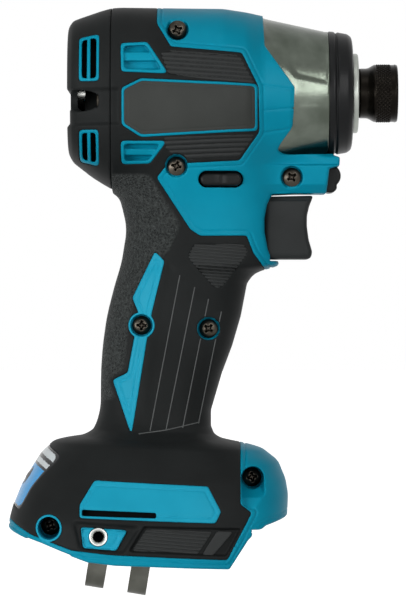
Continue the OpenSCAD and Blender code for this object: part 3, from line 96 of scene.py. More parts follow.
def polygon_distance(points, x, z):
    """Signed distance from each (x, z) to a closed polygon."""
    nearest = np.full(x.shape, np.inf)
    inside = np.zeros(x.shape, bool)
    for (ax, az), (bx, bz) in zip(points, np.roll(points, -1, axis=0)):
        ex = bx - ax
        ez = bz - az
        t = np.clip(((x - ax) * ex + (z - az) * ez) / (ex * ex + ez * ez), 0, 1)
        nearest = np.minimum(nearest, (x - ax - t * ex) ** 2 + (z - az - t * ez) ** 2)
        if ez != 0:
            inside ^= ((az > z) != (bz > z)) & (x < ax + (z - az) * ex / ez)
    nearest = np.sqrt(nearest)
    return np.where(inside, -nearest, nearest)


def averaged(values, reach):
    """Running mean over reach samples each way, along both axes."""
    for axis in (0, 1):
        padded = np.concatenate([np.repeat(values.take([0], axis), reach + 1, axis), values,
                                 np.repeat(values.take([-1], axis), reach, axis)], axis)
        total = np.cumsum(padded, axis)
        count = values.shape[axis]
        ends = total.take(range(2 * reach + 1, 2 * reach + 1 + count), axis)
        starts = total.take(range(0, count), axis)
        values = (ends - starts) / (2 * reach + 1)
    return values


class Outline:
    """Signed distance to a side outline, kept on a fine sheet. Rounding softens its corners."""

    def __init__(self, points, rounding=0.4):
        points = np.asarray(points)
        self.low = points.min(0) - SHEET_MARGIN
        self.count = ((points.max(0) + SHEET_MARGIN - self.low) / SHEET_STEP).astype(int) + 1
        x = self.low[0] + SHEET_STEP * np.arange(self.count[0])
        z = self.low[1] + SHEET_STEP * np.arange(self.count[1])
        values = polygon_distance(points, *np.meshgrid(x, z, indexing="ij"))
        reach = round(rounding / SHEET_STEP)
        self.flat = averaged(averaged(values, reach), reach).ravel()

    def __call__(self, x, z):
        u = np.clip((x - self.low[0]) / SHEET_STEP, 0, self.count[0] - LAST)
        v = np.clip((z - self.low[1]) / SHEET_STEP, 0, self.count[1] - LAST)
        i = u.astype(int)
        j = v.astype(int)
        u = u - i
        v = v - j
        rows = self.count[1]
        at = i * rows + j
        low = self.flat.take(at) * (1 - u) + self.flat.take(at + rows) * u
        high = self.flat.take(at + 1) * (1 - u) + self.flat.take(at + rows + 1) * u
        return low * (1 - v) + high * v


def pill(start, end, radius):
    """Distance function of a rounded stroke between two side points."""
    def distance(x, z):
        ex = end[0] - start[0]
        ez = end[1] - start[1]
        t = np.clip(((x - start[0]) * ex + (z - start[1]) * ez) / (ex * ex + ez * ez + TINY), 0, 1)
        return np.hypot(x - start[0] - t * ex, z - start[1] - t * ez) - radius
    return distance


# Pixels outside the picture, for outlines that run past the tool
ABOVE = -60
BEYOND = 620
# Half widths of drawn lines in mm
CHEEK_LINE_HALF = 0.1
RIDGE_HALF = 0.19
CASE_LINE_HALF = 0.15
SKIN = Outline(traced(
    (157, -40), (157, 22), (171, 46), (242, 52), (259, 86), (260, 131), (240, 160), (186, 163),
    (164.5, 167.5), (157, 177), (190.7, 229), (200.6, 235.4), (247, 235), (254, 252.8), (265.8, 268.6),
    (277, 276), (340, 280), (340, 420), (262, 436), (241, 438), (241, 505), (252.5, 514), (227.5, 561),
    (110, 555.4), (71.4, 551), (29.5, 536.3), (8, 524), (-40, 512), (-40, -40)))
CHEEK = Outline(traced(
    (ABOVE, ABOVE), (263.8, ABOVE), (264, 18), (265, 44), (295, 86), (294, 125), (276, 149), (283, 155.6),
    (BEYOND, 154), (BEYOND, BEYOND), (ABOVE, BEYOND)))
UPPER_VENT = Outline(traced((121, 43.4), (147, 42), (167.6, 73.3), (121.6, 71.4)), 0.6)
LOWER_VENT = Outline(traced((121, 141), (166.3, 141), (149.7, 162.4), (121.6, 163.3)), 0.6)
PLATE = Outline(traced(
    (123.5, 89.3), (141.4, 80.4), (255.5, 85.5), (256, 128.5), (141.4, 135), (123.5, 123.7)), 0.6)
UPPER_CHEVRON = Outline(traced(
    (155, 252), (164, 261), (151.5, 312), (148, 330), (140, 330), (138.5, 312), (132.6, 298)))
LOWER_CHEVRON = Outline(traced((136, 330), (148, 330), (131, 434), (112.8, 380.6), (128, 373)))
FOOT_PANEL = Outline(traced(
    (94.4, 481.5), (207.7, 487.5), (220.7, 512.4), (215.3, 523.2), (79.8, 517.8), (79.8, 505.4)))
FOOT_SLOT = Outline(traced((81.8, 510), (156.2, 513), (156.2, 518.4), (81.8, 516.2)), 0.2)
HOOK_PAD = Outline(traced((81.4, 528), (126.4, 530.8), (116, 550), (83.6, 547.6)))
HOOK_RECESS = Outline(traced((70, 519.5), (144, 525), (124, 556), (78, 551)), 0.8)
RIB_RECESS = Outline(traced((143.7, 525.5), (243, 528.5), (227, 557.5), (127, 552.5)), 0.4)
RIB_BLOCK = Outline(traced((146.5, 529), (213, 531.5), (197.5, 555), (131.5, 551)), 0.4)
PLAIN_BLOCK = Outline(traced((217, 531.5), (234, 532), (213, 556), (201.5, 555.5)), 0.4)
REAR_UPPER_VENT = Outline(traced((79, 37.5), (98.7, 33.8), (98.7, 80.6), (79, 80.6)), 0.6)
REAR_LOWER_VENT = Outline(traced((79, 129.8), (98, 129.8), (98, 165.2), (79, 159.8)), 0.6)
REAR_BAND = Outline(traced((20, 87.5), (122, 86.5), (122, 126), (20, 127)), 0.4)
UPPER_STRIP = Outline(traced((160, 53), (171, 50), (239, 54.5), (255.5, 83.5), (215, 80.5), (168.4, 75)), 0.4)
LOWER_STRIP = Outline(traced((163, 137), (256.5, 133.4), (238, 157.5), (188, 160), (166, 150)), 0.4)
RIB_PATCH = Outline(traced((187, 257), (194, 243.5), (244, 243.5), (249, 252), (222, 288), (214, 288)), 0.8)
CHEEK_LINES = [pill(*traced(a, b), CHEEK_LINE_HALF) for a, b in (
    ((263.5, 84.7), (293, 88.4)), ((263.5, 109.7), (293, 107)), ((263.5, 132), (289, 128)),
    ((293, 88.4), (293, 127)))]
GRAIN = Outline(traced(
    (60, 170), (150, 172), (183, 224), (172, 250), (160, 262), (136, 300), (130, 330), (126, 372),
    (110, 380), (118, 402), (60, 402)), 1.0)
TRIGGER_SIDE = Outline(traced(
    (260, 195.2), (315.2, 194.0), (310.6, 205), (308.2, 215), (308, 226), (309.6, 239), (313.2, 251.5),
    (312, 257), (309, 259), (262, 259)), 0.4)
TRIGGER_GAP = Outline(traced(
    (272.5, 193.5), (380, 193.5), (380, 290), (284, 290), (283, 259.6), (275, 258), (268.5, 249),
    (264.9, 232), (265.0, 217.5), (267.6, 204)), 0.3)
CHIN_SIDE = Outline(traced(
    (262, 150), (283, 157), (341.8, 154.8), (341.8, 163.4), (331.4, 166.4), (328, 192.6), (262, 192.6)), 0.3)
GRIP_RIDGES = [pill(*traced(a, b), RIDGE_HALF) for a, b in (
    ((179.8, 275.5), (150, 431)), ((194.7, 287.4), (166, 430)), ((208.5, 299.3), (182.8, 428)),
    ((221.4, 312), (198.6, 424)), ((139, 434), (166, 430.4)), ((166, 430.4), (199, 423)))]
GRIP_SHELF = Outline(traced((165, 256), (222, 308), (228, 300), (300, 230), (180, 200)), 0.2)
GRIP_SHELF_ROOM = Outline(traced((166, 256), (224, 309), (212, 372), (196, 440), (140, 440), (152, 320)), 0.2)
CASE_FACET = Outline(traced((262, 20), (281, 53), (297, 75), (330, 82), (330, 10), (262, 10)), 0.6)
CASE_LINES = [pill(*traced(a, b), CASE_LINE_HALF) for a, b in (
    ((304, 107), (318, 107)), ((299, 133), (306, 130)))]
REAR_BAR_X = traced((88.5, 30))[0, 0]

# Housing sizes in mm
HEAD_LENGTH = 110.6
HEAD_RISE = 29.0
HEAD_HALF = 31.0
SPLIT_X = -96.0
CASE_REAR_R = 26.2
CASE_FRONT_R = 21.4
CASE_REAR_X = -45.7
CASE_FRONT_X = -23.4
GRIP_MIDDLE = -74.0
GRIP_DEPTH = 45.0
GRIP_HALF = 16.5
GRIP_POWER = 2.45
FOOT_DROP = 157.0
FOOT_MIDDLE = -84.5
FOOT_REACH = 47.0
FOOT_HEIGHT = 46.0
FOOT_HALF = 38.5
FOOT_TILT = math.radians(2.2)
NECK_FILLET = 4.0
SKIN_DEPTH = 1.1
SKIN_THICKNESS = 1.4
SKIN_GAP = 0.1
BAY_HALF = 30.5
BAY_HEIGHT = 13.0
BAY_BACK = -26.3
RAIL_LIP = 4.0
BAND_DEPTH = 0.95
RIB_SINK = 1.5
RIDGE_RISE = 0.16
# Share of painted highlight on the skin's ribs
RIB_HIGHLIGHT = 0.3
JOINT_GAP = 0.04
JOINT_FLOOR = -60.0
RAIL_THICKNESS = 4.0
TRIGGER_HALF = 9.0
TRIGGER_TRAVEL = 7.2
TRIGGER_STROKE = 6.5
LEVER_HALF_LENGTH = 6.9
LEVER_RADIUS = 2.2
LEVER_PLACE = (-59.6, -29.6)
LEVER_REACH = 21.6
WELL_RADIUS = 3.7
SCREW_HEAD = 2.2
SCOOP_LENGTH = 6.2
RIM_LINES = (1.3, 2.3)
INSERT_RADIUS = 3.1
PANEL_NORMAL = np.array([-0.827081, 0.0, 0.562083])
PANEL_ALONG = np.array([0.562083, 0.0, 0.827081])
PANEL_HALF_HEIGHT = 11.5
PANEL_HALF_WIDTH = 20.5
PANEL_ROOM = 9.0
PANEL_SINK = 0.5
PANEL_CORNER = 3.0
# Edges, fillets and rooms between pieces
EDGE = 0.3
BAND_SLOPE = 1.6
CHEEK_EDGE = 0.6
HEAD_FILLET = 5.0
BAY_EDGE = 0.5
LEVER_ROOM = 0.55
RING_WIDTH = 0.55
PLATE_RIM = 0.5

# Head stations: setback, half width, rise and sag as shares of the head's length, half width and rise,
# and squareness
HEAD_SHARES = np.array([
    (1.0, 0.72, 0.775, 0.74, 2.8), (0.994, 0.8, 0.815, 0.79, 2.8), (0.973, 0.87, 0.85, 0.85, 2.75),
    (0.931, 0.935, 0.905, 0.975, 2.7), (0.9, 0.975, 0.945, 1.05, 2.7), (0.868, 1.0, 0.978, 1.12, 2.7),
    (0.84, 1.0, 0.985, 1.1, 2.7), (0.53, 0.995, 0.972, 0.97, 2.6), (0.46, 0.945, 0.935, 0.945, 2.35),
    (0.413, 0.845, 0.9, 0.903, 2.0), (0.2116, 0.69, 0.738, 0.738, 2.0)])
# Grip stations: share of the foot's drop, rear and front shares of the depth, share of the half width
GRIP_SHARES = np.array([
    (0.06, 0.49, 0.756, 1.6), (0.115, 0.484, 0.756, 1.5), (0.191, 0.484, 0.756, 1.3),
    (0.229, 0.43, 0.756, 1.16), (0.29, 0.38, 0.756, 1.06), (0.37, 0.425, 0.756, 1.012),
    (0.3735, 0.429, 0.735, 1.01), (0.378, 0.435, 0.66, 1.008), (0.384, 0.442, 0.6, 1.006),
    (0.392, 0.452, 0.56, 1.004), (0.408, 0.469, 0.52, 1.0), (0.478, 0.531, 0.473, 1.0),
    (0.541, 0.562, 0.409, 0.988), (0.599, 0.576, 0.333, 0.964), (0.68, 0.578, 0.25, 0.955),
    (0.739, 0.65, 0.25, 1.1), (0.8, 0.7, 0.27, 1.2)])
# Foot stations from its underside up: share of its height, rear, front and half width shares, and squareness
FOOT_SHARES = np.array([
    (0.0, -1.0, 0.957, 1.0, 3.0), (0.261, -0.991, 0.968, 0.982, 3.0), (0.37, -0.968, 0.996, 0.951, 2.8),
    (0.522, -0.915, 0.996, 0.888, 2.7), (0.63, -0.857, 0.974, 0.831, 2.6), (0.761, -0.785, 0.915, 0.727, 2.5),
    (0.86, -0.68, 0.78, 0.636, 2.4), (0.913, -0.36, 0.45, 0.47, 2.4), (1.0, -0.2, 0.3, 0.28, 2.4)])
# Side view of the foot: forward and up, as shares of its reach and height
FOOT_SIDE_SHARES = np.array([
    (-1.2, 1.2), (-1.2, 0.3), (-1, 0.205), (-0.85, 0.157), (-0.73, 0.13), (-0.59, 0.076), (-0.4, 0.015),
    (-0.21, 0), (0.59, 0), (0.715, 0.21), (0.836, 0.31), (0.985, 0.36), (1.2, 0.42), (1.2, 1.2)])
# Stretch, in mm each way, over which each column of the stations is averaged
HEAD_SOFT = (1.0, 1.0, 1.0, 2.0)
GRIP_SOFT = (3.0, 0.6, 3.0)
FOOT_SOFT = (1.0, 1.0, 1.5, 1.0)


# Fields
def blend_max(a, b, r):
    """The larger of two fields, with a rounded edge of about radius r where they meet."""
    h = np.maximum(r - np.abs(a - b), 0) / r
    return np.maximum(a, b) + h * h * r / 4


def blend_min(a, b, r):
    """The smaller of two fields, with a fillet of about radius r where they meet."""
    return -blend_max(-a, -b, r)


def step(t):
    """Smooth rise from 0 at t = 0 to 1 at t = 1."""
    t = np.clip(t, 0, 1)
    return t * t * (3 - 2 * t)


def groove(distance, width):
    """Smooth line that is 1 at distance 0 and fades over a width."""
    return np.exp(-(distance / width) ** 2)


STATION_STEP = 0.1
STATION_ROOM = 5.0
LEAN_REACH = 0.5


class Stations:
    """Columns of a station table at fine steps, averaged a little so that stations meet softly."""

    def __init__(self, table, softs):
        self.low = table[0, 0] - STATION_ROOM
        at = np.arange(self.low, table[-1, 0] + STATION_ROOM, STATION_STEP)
        self.last = len(at) - LAST
        self.columns = []
        self.leans = []
        for values, soft in zip(table[:, 1:].T, softs):
            shifts = (-soft, -soft / 2, 0, soft / 2, soft)
            column = np.mean([np.interp(at + shift, table[:, 0], values) for shift in shifts], 0)
            ahead = np.interp(at + LEAN_REACH, at, column)
            behind = np.interp(at - LEAN_REACH, at, column)
            self.columns.append(column)
            self.leans.append((ahead - behind) / (2 * LEAN_REACH))

    def __call__(self, at, leaning=()):
        """The columns at each place, then the change per mm of the columns that leaning names by number."""
        t = np.clip((at - self.low) / STATION_STEP, 0, self.last)
        i = t.astype(int)
        t = t - i
        chosen = self.columns + [self.leans[number] for number in leaning]
        return [kept.take(i) * (1 - t) + kept.take(i + 1) * t for kept in chosen]


def oval(a, b, half_a, half_b, power):
    """Rounded section: distance-like value from the middle of a section with these half sizes."""
    size = np.minimum(half_a, half_b)
    reach = np.abs(a / half_a) ** power + np.abs(b / half_b) ** power
    return size * (np.maximum(reach, TINY) ** (1 / power) - 1)


HEAD = Stations(HEAD_SHARES[::-1] * (HEAD_LENGTH, HEAD_HALF, HEAD_RISE, HEAD_RISE, 1), HEAD_SOFT)
GRIP = Stations(GRIP_SHARES * (FOOT_DROP, GRIP_DEPTH, GRIP_DEPTH, GRIP_HALF), GRIP_SOFT)
GRIP_TOP = GRIP_SHARES[0, 0] * FOOT_DROP
GRIP_BOTTOM = GRIP_SHARES[-1, 0] * FOOT_DROP
FOOT = Stations(FOOT_SHARES * (FOOT_HEIGHT, FOOT_REACH, FOOT_REACH, FOOT_HALF, 1), FOOT_SOFT)
FOOT_SIDE = Outline(FOOT_SIDE_SHARES * (FOOT_REACH, FOOT_HEIGHT), 0.3)
HEAD_EDGE = 2.5
FOOT_TOP_EDGE = 1.0
FOOT_SIDE_EDGE = 0.8


def head_form(x, y, z):
    half, rise, sag, power = HEAD(-x)
    body = oval(y, z, half, np.where(z > 0, rise, sag), power)
    body = blend_max(body, -HEAD_LENGTH - x, HEAD_EDGE)
    return np.maximum(body, x - CASE_FRONT_X)


def leaning_oval(ahead, y, half_depth, half, power, front_lean, back_lean):
    """Rounded section whose front and back lean, with its distances evened by the lean."""
    body = oval(ahead, y, half_depth, half, power)
    return body / np.hypot(1, np.where(ahead > 0, front_lean, back_lean))


def grip_form(x, y, z):
    back, front, half, back_lean, front_lean = GRIP(-z, (0, 1))
    ahead = x - GRIP_MIDDLE - (front - back) / 2
    body = leaning_oval(ahead, y, (front + back) / 2, half, GRIP_POWER, front_lean, back_lean)
    return np.maximum(body, np.maximum(z + GRIP_TOP, -GRIP_BOTTOM - z))


def foot_place(x, z):
    """Place in the foot's own tilted frame: forward from its middle and up from its underside."""
    u = (x - FOOT_MIDDLE) * math.cos(FOOT_TILT) - (z + FOOT_DROP) * math.sin(FOOT_TILT)
    w = (x - FOOT_MIDDLE) * math.sin(FOOT_TILT) + (z + FOOT_DROP) * math.cos(FOOT_TILT)
    return u, w


def foot_form(x, y, z):
    u, w = foot_place(x, z)
    back, front, half, power, back_lean, front_lean = FOOT(w, (0, 1))
    ahead = u - (back + front) / 2
    body = leaning_oval(ahead, y, (front - back) / 2, half, power, front_lean, back_lean)
    body = blend_max(body, w - FOOT_HEIGHT, FOOT_TOP_EDGE)
    return blend_max(body, FOOT_SIDE(u, w), FOOT_SIDE_EDGE)


# Depths below the drive axis where the chin and its tongue change width, and their half widths there
CHIN_DEPTHS = (20.6, 24.2, 24.8, 31.0, 33.5)
CHIN_HALVES = (10.9, 10.9, 12.2, 10.8, 8.2)
CHIN_EDGE = 1.2


def chin_form(x, y, z):
    half = np.interp(-z, CHIN_DEPTHS, CHIN_HALVES)
    return blend_max(CHIN_SIDE(x, z), np.abs(y) - half, CHIN_EDGE)


def band_depth(x, z):
    """Depth of the shallow band that runs from the rear end to the rating plate."""
    return BAND_DEPTH * step(-REAR_BAND(x, z) / BAND_SLOPE)


# Heights beyond which the head, grip and foot are too far off to matter, and the field's value there
HEAD_FLOOR = -50.0
GRIP_CEILING = -4.0
GRIP_FLOOR = -136.0
FOOT_CEILING = -95.0
FAR = 30.0


def within(room, form, x, y, z):
    """A form's field where there is room for it, and a far value elsewhere."""
    field = np.full(x.shape, FAR)
    field[room] = form(x[room], y[room], z[room])
    return field


def head_shell(x, y, z):
    return np.maximum(head_form(x, y, z) + band_depth(x, z), CHEEK(x, z))


def grip_shell(x, y, z):
    return blend_max(grip_form(x, y, z), CHEEK(x, z), CHEEK_EDGE)


def whole_form(x, y, z):
    """Outside of the moulded tool behind the hammer case."""
    head = within(z > HEAD_FLOOR, head_shell, x, y, z)
    grip = within((z < GRIP_CEILING) & (z > GRIP_FLOOR), grip_shell, x, y, z)
    foot = within(z < FOOT_CEILING, foot_form, x, y, z)
    return blend_min(blend_min(head, grip, HEAD_FILLET), foot, NECK_FILLET)


SCREW_SIDES = traced(
    (177.3, 28.7), (176.3, 165.2), (293, 175.4), (141.4, 325.4), (208.6, 328.6), (252.9, 480.2), (48.2, 529))
SCREW_SINKS = (0.0, 0.0, 0.0, 0.4, 1.0, 1.0, 5.0)


def screw_places():
    """Places of the housing screws, in mm: the side view's from the photo, the outer faces from the CAD node,
    which are sunk further in deep wells."""
    mesh = frame["nodes"]["housing_screws"].data
    points = np.empty(len(mesh.vertices) * 3)
    mesh.vertices.foreach_get("co", points)
    points = points.reshape(-1, 3) / MM
    places = []
    for (x, z), sink in zip(SCREW_SIDES, SCREW_SINKS):
        near = points[np.hypot(points[:, 0] - x, points[:, 2] - z) < 2 * WELL_RADIUS]
        places.append((x, near[:, 1].min() + sink, z))
    return places


SCREWS = screw_places()
# The screws that have a teal ring in the skin, and the one above the scoop at the foot's front
RING_PLACES = (SCREWS[3], SCREWS[6])
FRONT_FOOT_SCREW = SCREWS[5]


def node_box(name):
    """Low and high corners of a CAD node in mm."""
    low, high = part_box(name)
    return np.array(low) / MM, np.array(high) / MM


INSERT_LOW, INSERT_HIGH = node_box("hook_inserts")
INSERT_PLACE = ((INSERT_LOW[0] + INSERT_HIGH[0]) / 2, (INSERT_LOW[2] + INSERT_HIGH[2]) / 2)
PANEL_MIDDLE = np.mean(node_box("mode_panel"), 0)


def screw_distance(x, z, radius):
    """Distance to the nearest screw's well in the side view."""
    near = np.full(x.shape, np.inf)
    for place in SCREWS:
        near = np.minimum(near, np.hypot(x - place[0], z - place[2]))
    return near - radius


LEVER_HALF_STROKE = LEVER_HALF_LENGTH - LEVER_RADIUS
LEVER_ENDS = [(LEVER_PLACE[0] + side * LEVER_HALF_STROKE, LEVER_PLACE[1]) for side in (-1, 1)]
LEVER_SIDE = pill(*LEVER_ENDS, LEVER_RADIUS)
LEVER_SLOT = pill(*LEVER_ENDS, LEVER_RADIUS + LEVER_ROOM)
LOW_INLAYS = (UPPER_CHEVRON, LOWER_CHEVRON, FOOT_PANEL, HOOK_PAD)
INLAYS = (UPPER_VENT, LOWER_VENT) + LOW_INLAYS
REAR_INLAYS = (REAR_UPPER_VENT, REAR_LOWER_VENT)
RING_RADIUS = WELL_RADIUS + RING_WIDTH


def skin_zone(x, z, right):
    """Signed distance to the edge of the elastomer skin in the side view."""
    zone = SKIN(x, z)
    for inlay in INLAYS:
        zone = np.maximum(zone, -inlay(x, z))
    if right:
        zone = np.maximum(zone, -(PLATE(x, z) - PLATE_RIM))
        zone = np.maximum(zone, -screw_distance(x, z, WELL_RADIUS))
        for place in RING_PLACES:
            zone = np.maximum(zone, RING_RADIUS - np.hypot(x - place[0], z - place[2]))
    return zone


def carve(field, form, mask, depth):
    """Takes out of a field what lies inside a side mask, down to a depth under the form's surface."""
    return blend_max(field, -np.maximum(mask, -(form + depth)), EDGE)


def cross_hole(field, distance, y, seat):
    """Takes a hole along Y out of a field, from outside down to a seat on that side."""
    return blend_max(field, -np.maximum(distance, seat - np.abs(y)), EDGE)


def battery_bay(field, x, y, z):
    u, w = foot_place(x, z)
    room = np.maximum(BAY_BACK - u, w - BAY_HEIGHT)
    wide = np.maximum(np.maximum(np.abs(y) - BAY_HALF, RAIL_THICKNESS - w), room)
    mouth = np.maximum(np.abs(y) - BAY_HALF + RAIL_LIP, room)
    return blend_max(field, -np.minimum(wide, mouth), BAY_EDGE)


def along_panel(x, z, middle):
    """Distance up the panel's slope from a place on it."""
    return (x - middle[0]) * PANEL_ALONG[0] + (z - middle[2]) * PANEL_ALONG[2]


def panel_mask(x, y, z):
    """Signed distance to the edge of the mode panel, in the plane of its slope."""
    along = along_panel(x, z, PANEL_MIDDLE)
    out = (x - PANEL_MIDDLE[0]) * PANEL_NORMAL[0] + (z - PANEL_MIDDLE[2]) * PANEL_NORMAL[2]
    edge = blend_max(np.abs(along) - PANEL_HALF_HEIGHT, np.abs(y) - PANEL_HALF_WIDTH, PANEL_CORNER)
    return np.maximum(edge, -PANEL_ROOM - out)


BUTTONS = {name: np.mean(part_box(name), 0) / MM for name in ("power_button", "light_button")}
BUTTON_RADIUS = 3.2
BUTTON_BOX = 10.2
BUTTON_ROOM = 0.25
BUTTON_RISE = 0.3
BUTTON_SINK = 1.5
BUTTON_ROOT = 0.9


def button_mask(name, x, y, z):
    """Signed distance to the rim of a button, in the plane of the panel's slope."""
    middle = BUTTONS[name]
    return np.hypot(along_panel(x, z, middle), y - middle[1]) - BUTTON_RADIUS


def button_wells(x, y, z):
    """Signed distance to the nearest button's well, on the panel's slope only."""
    near = np.min([button_mask(name, x, y, z) for name in BUTTONS], 0) - BUTTON_ROOM
    return np.maximum(near, panel_mask(x, y, z))


def foot_cuts(field, x, y, z):
    """Battery bay, mode panel pocket and hook holes, which pass through housing and skin alike."""
    field = battery_bay(field, x, y, z)
    field = field + PANEL_SINK * step(-panel_mask(x, y, z) / EDGE)
    field = field + BUTTON_SINK * step(-button_wells(x, y, z) / EDGE)
    hole = np.hypot(x - INSERT_PLACE[0], z - INSERT_PLACE[1]) - INSERT_RADIUS
    return cross_hole(field, hole, y, BAY_HALF)


# Photo rows of the slits between the louvres of each vent, read at one column
LOUVRES = {UPPER_VENT: ((45.5, 52.0), (60.8, 69.0)), LOWER_VENT: ((143.5, 148.6), (154.5, 160.5))}
LOUVRE_COLUMN = 140
LOUVRE_DEPTH = 3.0
VENT_RIM = 0.95
VENT_DEPTH = 0.7
REAR_VENT_RIM = 0.8
REAR_VENT_DEPTH = 4.0
REAR_BAR_HALF = 0.55


def vent_cuts(field, form, x, z):
    for vent, rows in LOUVRES.items():
        inner = vent(x, z) + VENT_RIM
        field = carve(field, form, inner, VENT_DEPTH)
        for upper, lower in rows:
            top, bottom = traced((LOUVRE_COLUMN, upper), (LOUVRE_COLUMN, lower))[:, 1]
            slit = np.abs(z - (top + bottom) / 2) - (top - bottom) / 2
            field = carve(field, form, np.maximum(inner, slit), LOUVRE_DEPTH)
    return field


def rear_cuts(field, form, x, z):
    bar = np.abs(x - REAR_BAR_X)
    for vent in REAR_INLAYS:
        slit = np.maximum(vent(x, z) + REAR_VENT_RIM, REAR_BAR_HALF - bar)
        field = carve(field, form, slit, REAR_VENT_DEPTH)
    return field


PROBE_STEP = 0.05


def surface_y(x, z):
    """Distance of the tool's side surface from the middle plane at one side place."""
    y = np.arange(0, FOOT_HALF, PROBE_STEP)
    return y[whole_form(np.full(y.shape, x), y, np.full(y.shape, z)) < 0].max()


SCOOP_X, SCOOP_FACE, SCOOP_TOP = FRONT_FOOT_SCREW
SCOOP_BOTTOM = SCOOP_TOP - SCOOP_LENGTH
SCOOP_END = SCOOP_BOTTOM - WELL_RADIUS
SCOOP_LEAN = 0.2
SCOOP_ROOM = 0.1
SCOOP_DIP = 3.0
SCOOP_EDGE = 0.4
SCOOP_SIDE = pill((SCOOP_X, SCOOP_TOP), (SCOOP_X + SCOOP_LEAN, SCOOP_BOTTOM), WELL_RADIUS + SCOOP_ROOM)
SCOOP_LIP = surface_y(SCOOP_X, SCOOP_END) - EDGE
SCOOP_HEIGHTS = (SCOOP_END, SCOOP_BOTTOM, SCOOP_TOP)
SCOOP_FLOORS = (SCOOP_LIP, SCOOP_LIP - SCOOP_DIP, -SCOOP_FACE)


def front_scoop(x, y, z):
    """Long scoop below the screw at the front of the foot, deep at the screw and running out below it."""
    return np.maximum(SCOOP_SIDE(x, z), np.interp(z, SCOOP_HEIGHTS, SCOOP_FLOORS) - np.abs(y))


GUARD_EDGE = 1.2
POCKET_ROOM = 0.5
POCKET_SIDE_ROOM = 0.4


def trigger_cuts(field, x, y, z):
    """Room in front of the housing for the trigger, and the pocket that it slides back into."""
    field = blend_max(field, -TRIGGER_GAP(x, z), GUARD_EDGE)
    halfway = TRIGGER_SIDE(x + TRIGGER_TRAVEL / 2, z)
    pocket = np.minimum(halfway, TRIGGER_SIDE(x + TRIGGER_TRAVEL, z)) - POCKET_ROOM
    return blend_max(field, -np.maximum(pocket, np.abs(y) - TRIGGER_HALF - POCKET_SIDE_ROOM), EDGE)


JOINT_EDGE = 0.4


def joint_cut(field, x, z):
    """Ends the head of a field at the rear cover's joint."""
    return blend_max(field, np.minimum(SPLIT_X + JOINT_GAP - x, z - JOINT_FLOOR), JOINT_EDGE)


# Relief of the skin: depths, and the stretch over which each is reached
HOOK_RECESS_DEPTH = 1.1
HOOK_RECESS_SLOPE = 1.6
RIB_SLOPE = 0.8
STRIP_SINK = 0.45
STRIP_SLOPE = 0.5
SHELF_SINK = 0.35
SHELF_SLOPE = 0.6
SHELF_FADE = 3


def skin_relief(x, z):
    """Depth of grooves and recesses in the skin's surface."""
    relief = HOOK_RECESS_DEPTH * step(-HOOK_RECESS(x, z) / HOOK_RECESS_SLOPE)
    relief = relief + RIB_SINK * step(-RIB_RECESS(x, z) / RIB_SLOPE)
    for strip in (UPPER_STRIP, LOWER_STRIP, RIB_PATCH):
        relief = relief + STRIP_SINK * step(-strip(x, z) / STRIP_SLOPE)
    shelf = step(GRIP_SHELF(x, z) / SHELF_SLOPE) * step(-GRIP_SHELF_ROOM(x, z) / SHELF_FADE)
    return relief + SHELF_SINK * shelf


# Housing under and beside the skin, and the lines drawn on it
UNDER_SKIN = SKIN_DEPTH + 0.25
UNDER_SLOPE = 0.5
INSET = 1.45
INSET_WIDTH = 0.24
INSET_DEPTH = 0.3
CHEEK_LINE_DEPTH = 0.22
CHEEK_LINE_WIDTH = 0.25
RIM_LINE_DEPTH = 0.16
RIM_LINE_WIDTH = 0.18
CHIN_FILLET = 5.0
SLOT_DEPTH = 3.2
PAD_SINK = 0.9
PLATE_SINK = 0.6
PLATE_INSET = 0.1
WELL_SEAT = SCREW_HEAD - 0.1


def housing_field(x, y, z, right):
    """Teal moulding: flush where it shows, sunk under the skin, with its openings."""
    form = whole_form(x, y, z)
    zone = skin_zone(x, z, right)
    field = form + (UNDER_SKIN + np.maximum(skin_relief(x, z), 0)) * step(-zone / UNDER_SLOPE)
    field = field + INSET_DEPTH * groove(zone - INSET, INSET_WIDTH)
    for line in CHEEK_LINES:
        field = field + CHEEK_LINE_DEPTH * groove(np.maximum(line(x, z), 0), CHEEK_LINE_WIDTH)
    rim = FOOT_SIDE(*foot_place(x, z))
    for inset in RIM_LINES:
        field = field + RIM_LINE_DEPTH * groove(rim + inset, RIM_LINE_WIDTH)
    field = blend_min(field, chin_form(x, y, z), CHIN_FILLET)
    field = vent_cuts(field, form, x, z)
    field = carve(field, form, FOOT_SLOT(x, z), SLOT_DEPTH)
    field = field + PAD_SINK * step(-HOOK_PAD(x, z) / EDGE)
    if right:
        field = field + PLATE_SINK * step(-(PLATE(x, z) + PLATE_INSET) / EDGE)
        for place in SCREWS:
            well = np.hypot(x - place[0], z - place[2]) - WELL_RADIUS
            field = cross_hole(field, well, y, -place[1] - WELL_SEAT)
        field = blend_max(field, -front_scoop(x, y, z), SCOOP_EDGE)
    field = carve(field, form, LEVER_SLOT(x, z), SLOT_DEPTH)
    field = trigger_cuts(field, x, y, z)
    field = foot_cuts(field, x, y, z)
    return joint_cut(field, x, z)


SKIN_EDGE = 0.5
SKIN_ROOT = SKIN_THICKNESS + 1.4


def skin_field(x, y, z, right):
    """Black elastomer moulded over the housing."""
    form = whole_form(x, y, z)
    zone = skin_zone(x, z, right) + SKIN_GAP
    field = blend_max(form + skin_relief(x, z), zone, SKIN_EDGE)
    field = np.maximum(field, -(form + SKIN_ROOT))
    field = foot_cuts(field, x, y, z)
    field = trigger_cuts(field, x, y, z)
    return joint_cut(field, x, z)


# Notch on each side of the rear cover
NOTCH_Z = -3.6
NOTCH_HALF = 3.0
NOTCH_END = -109.4
NOTCH_INNER = 12
NOTCH_EDGE = 0.6


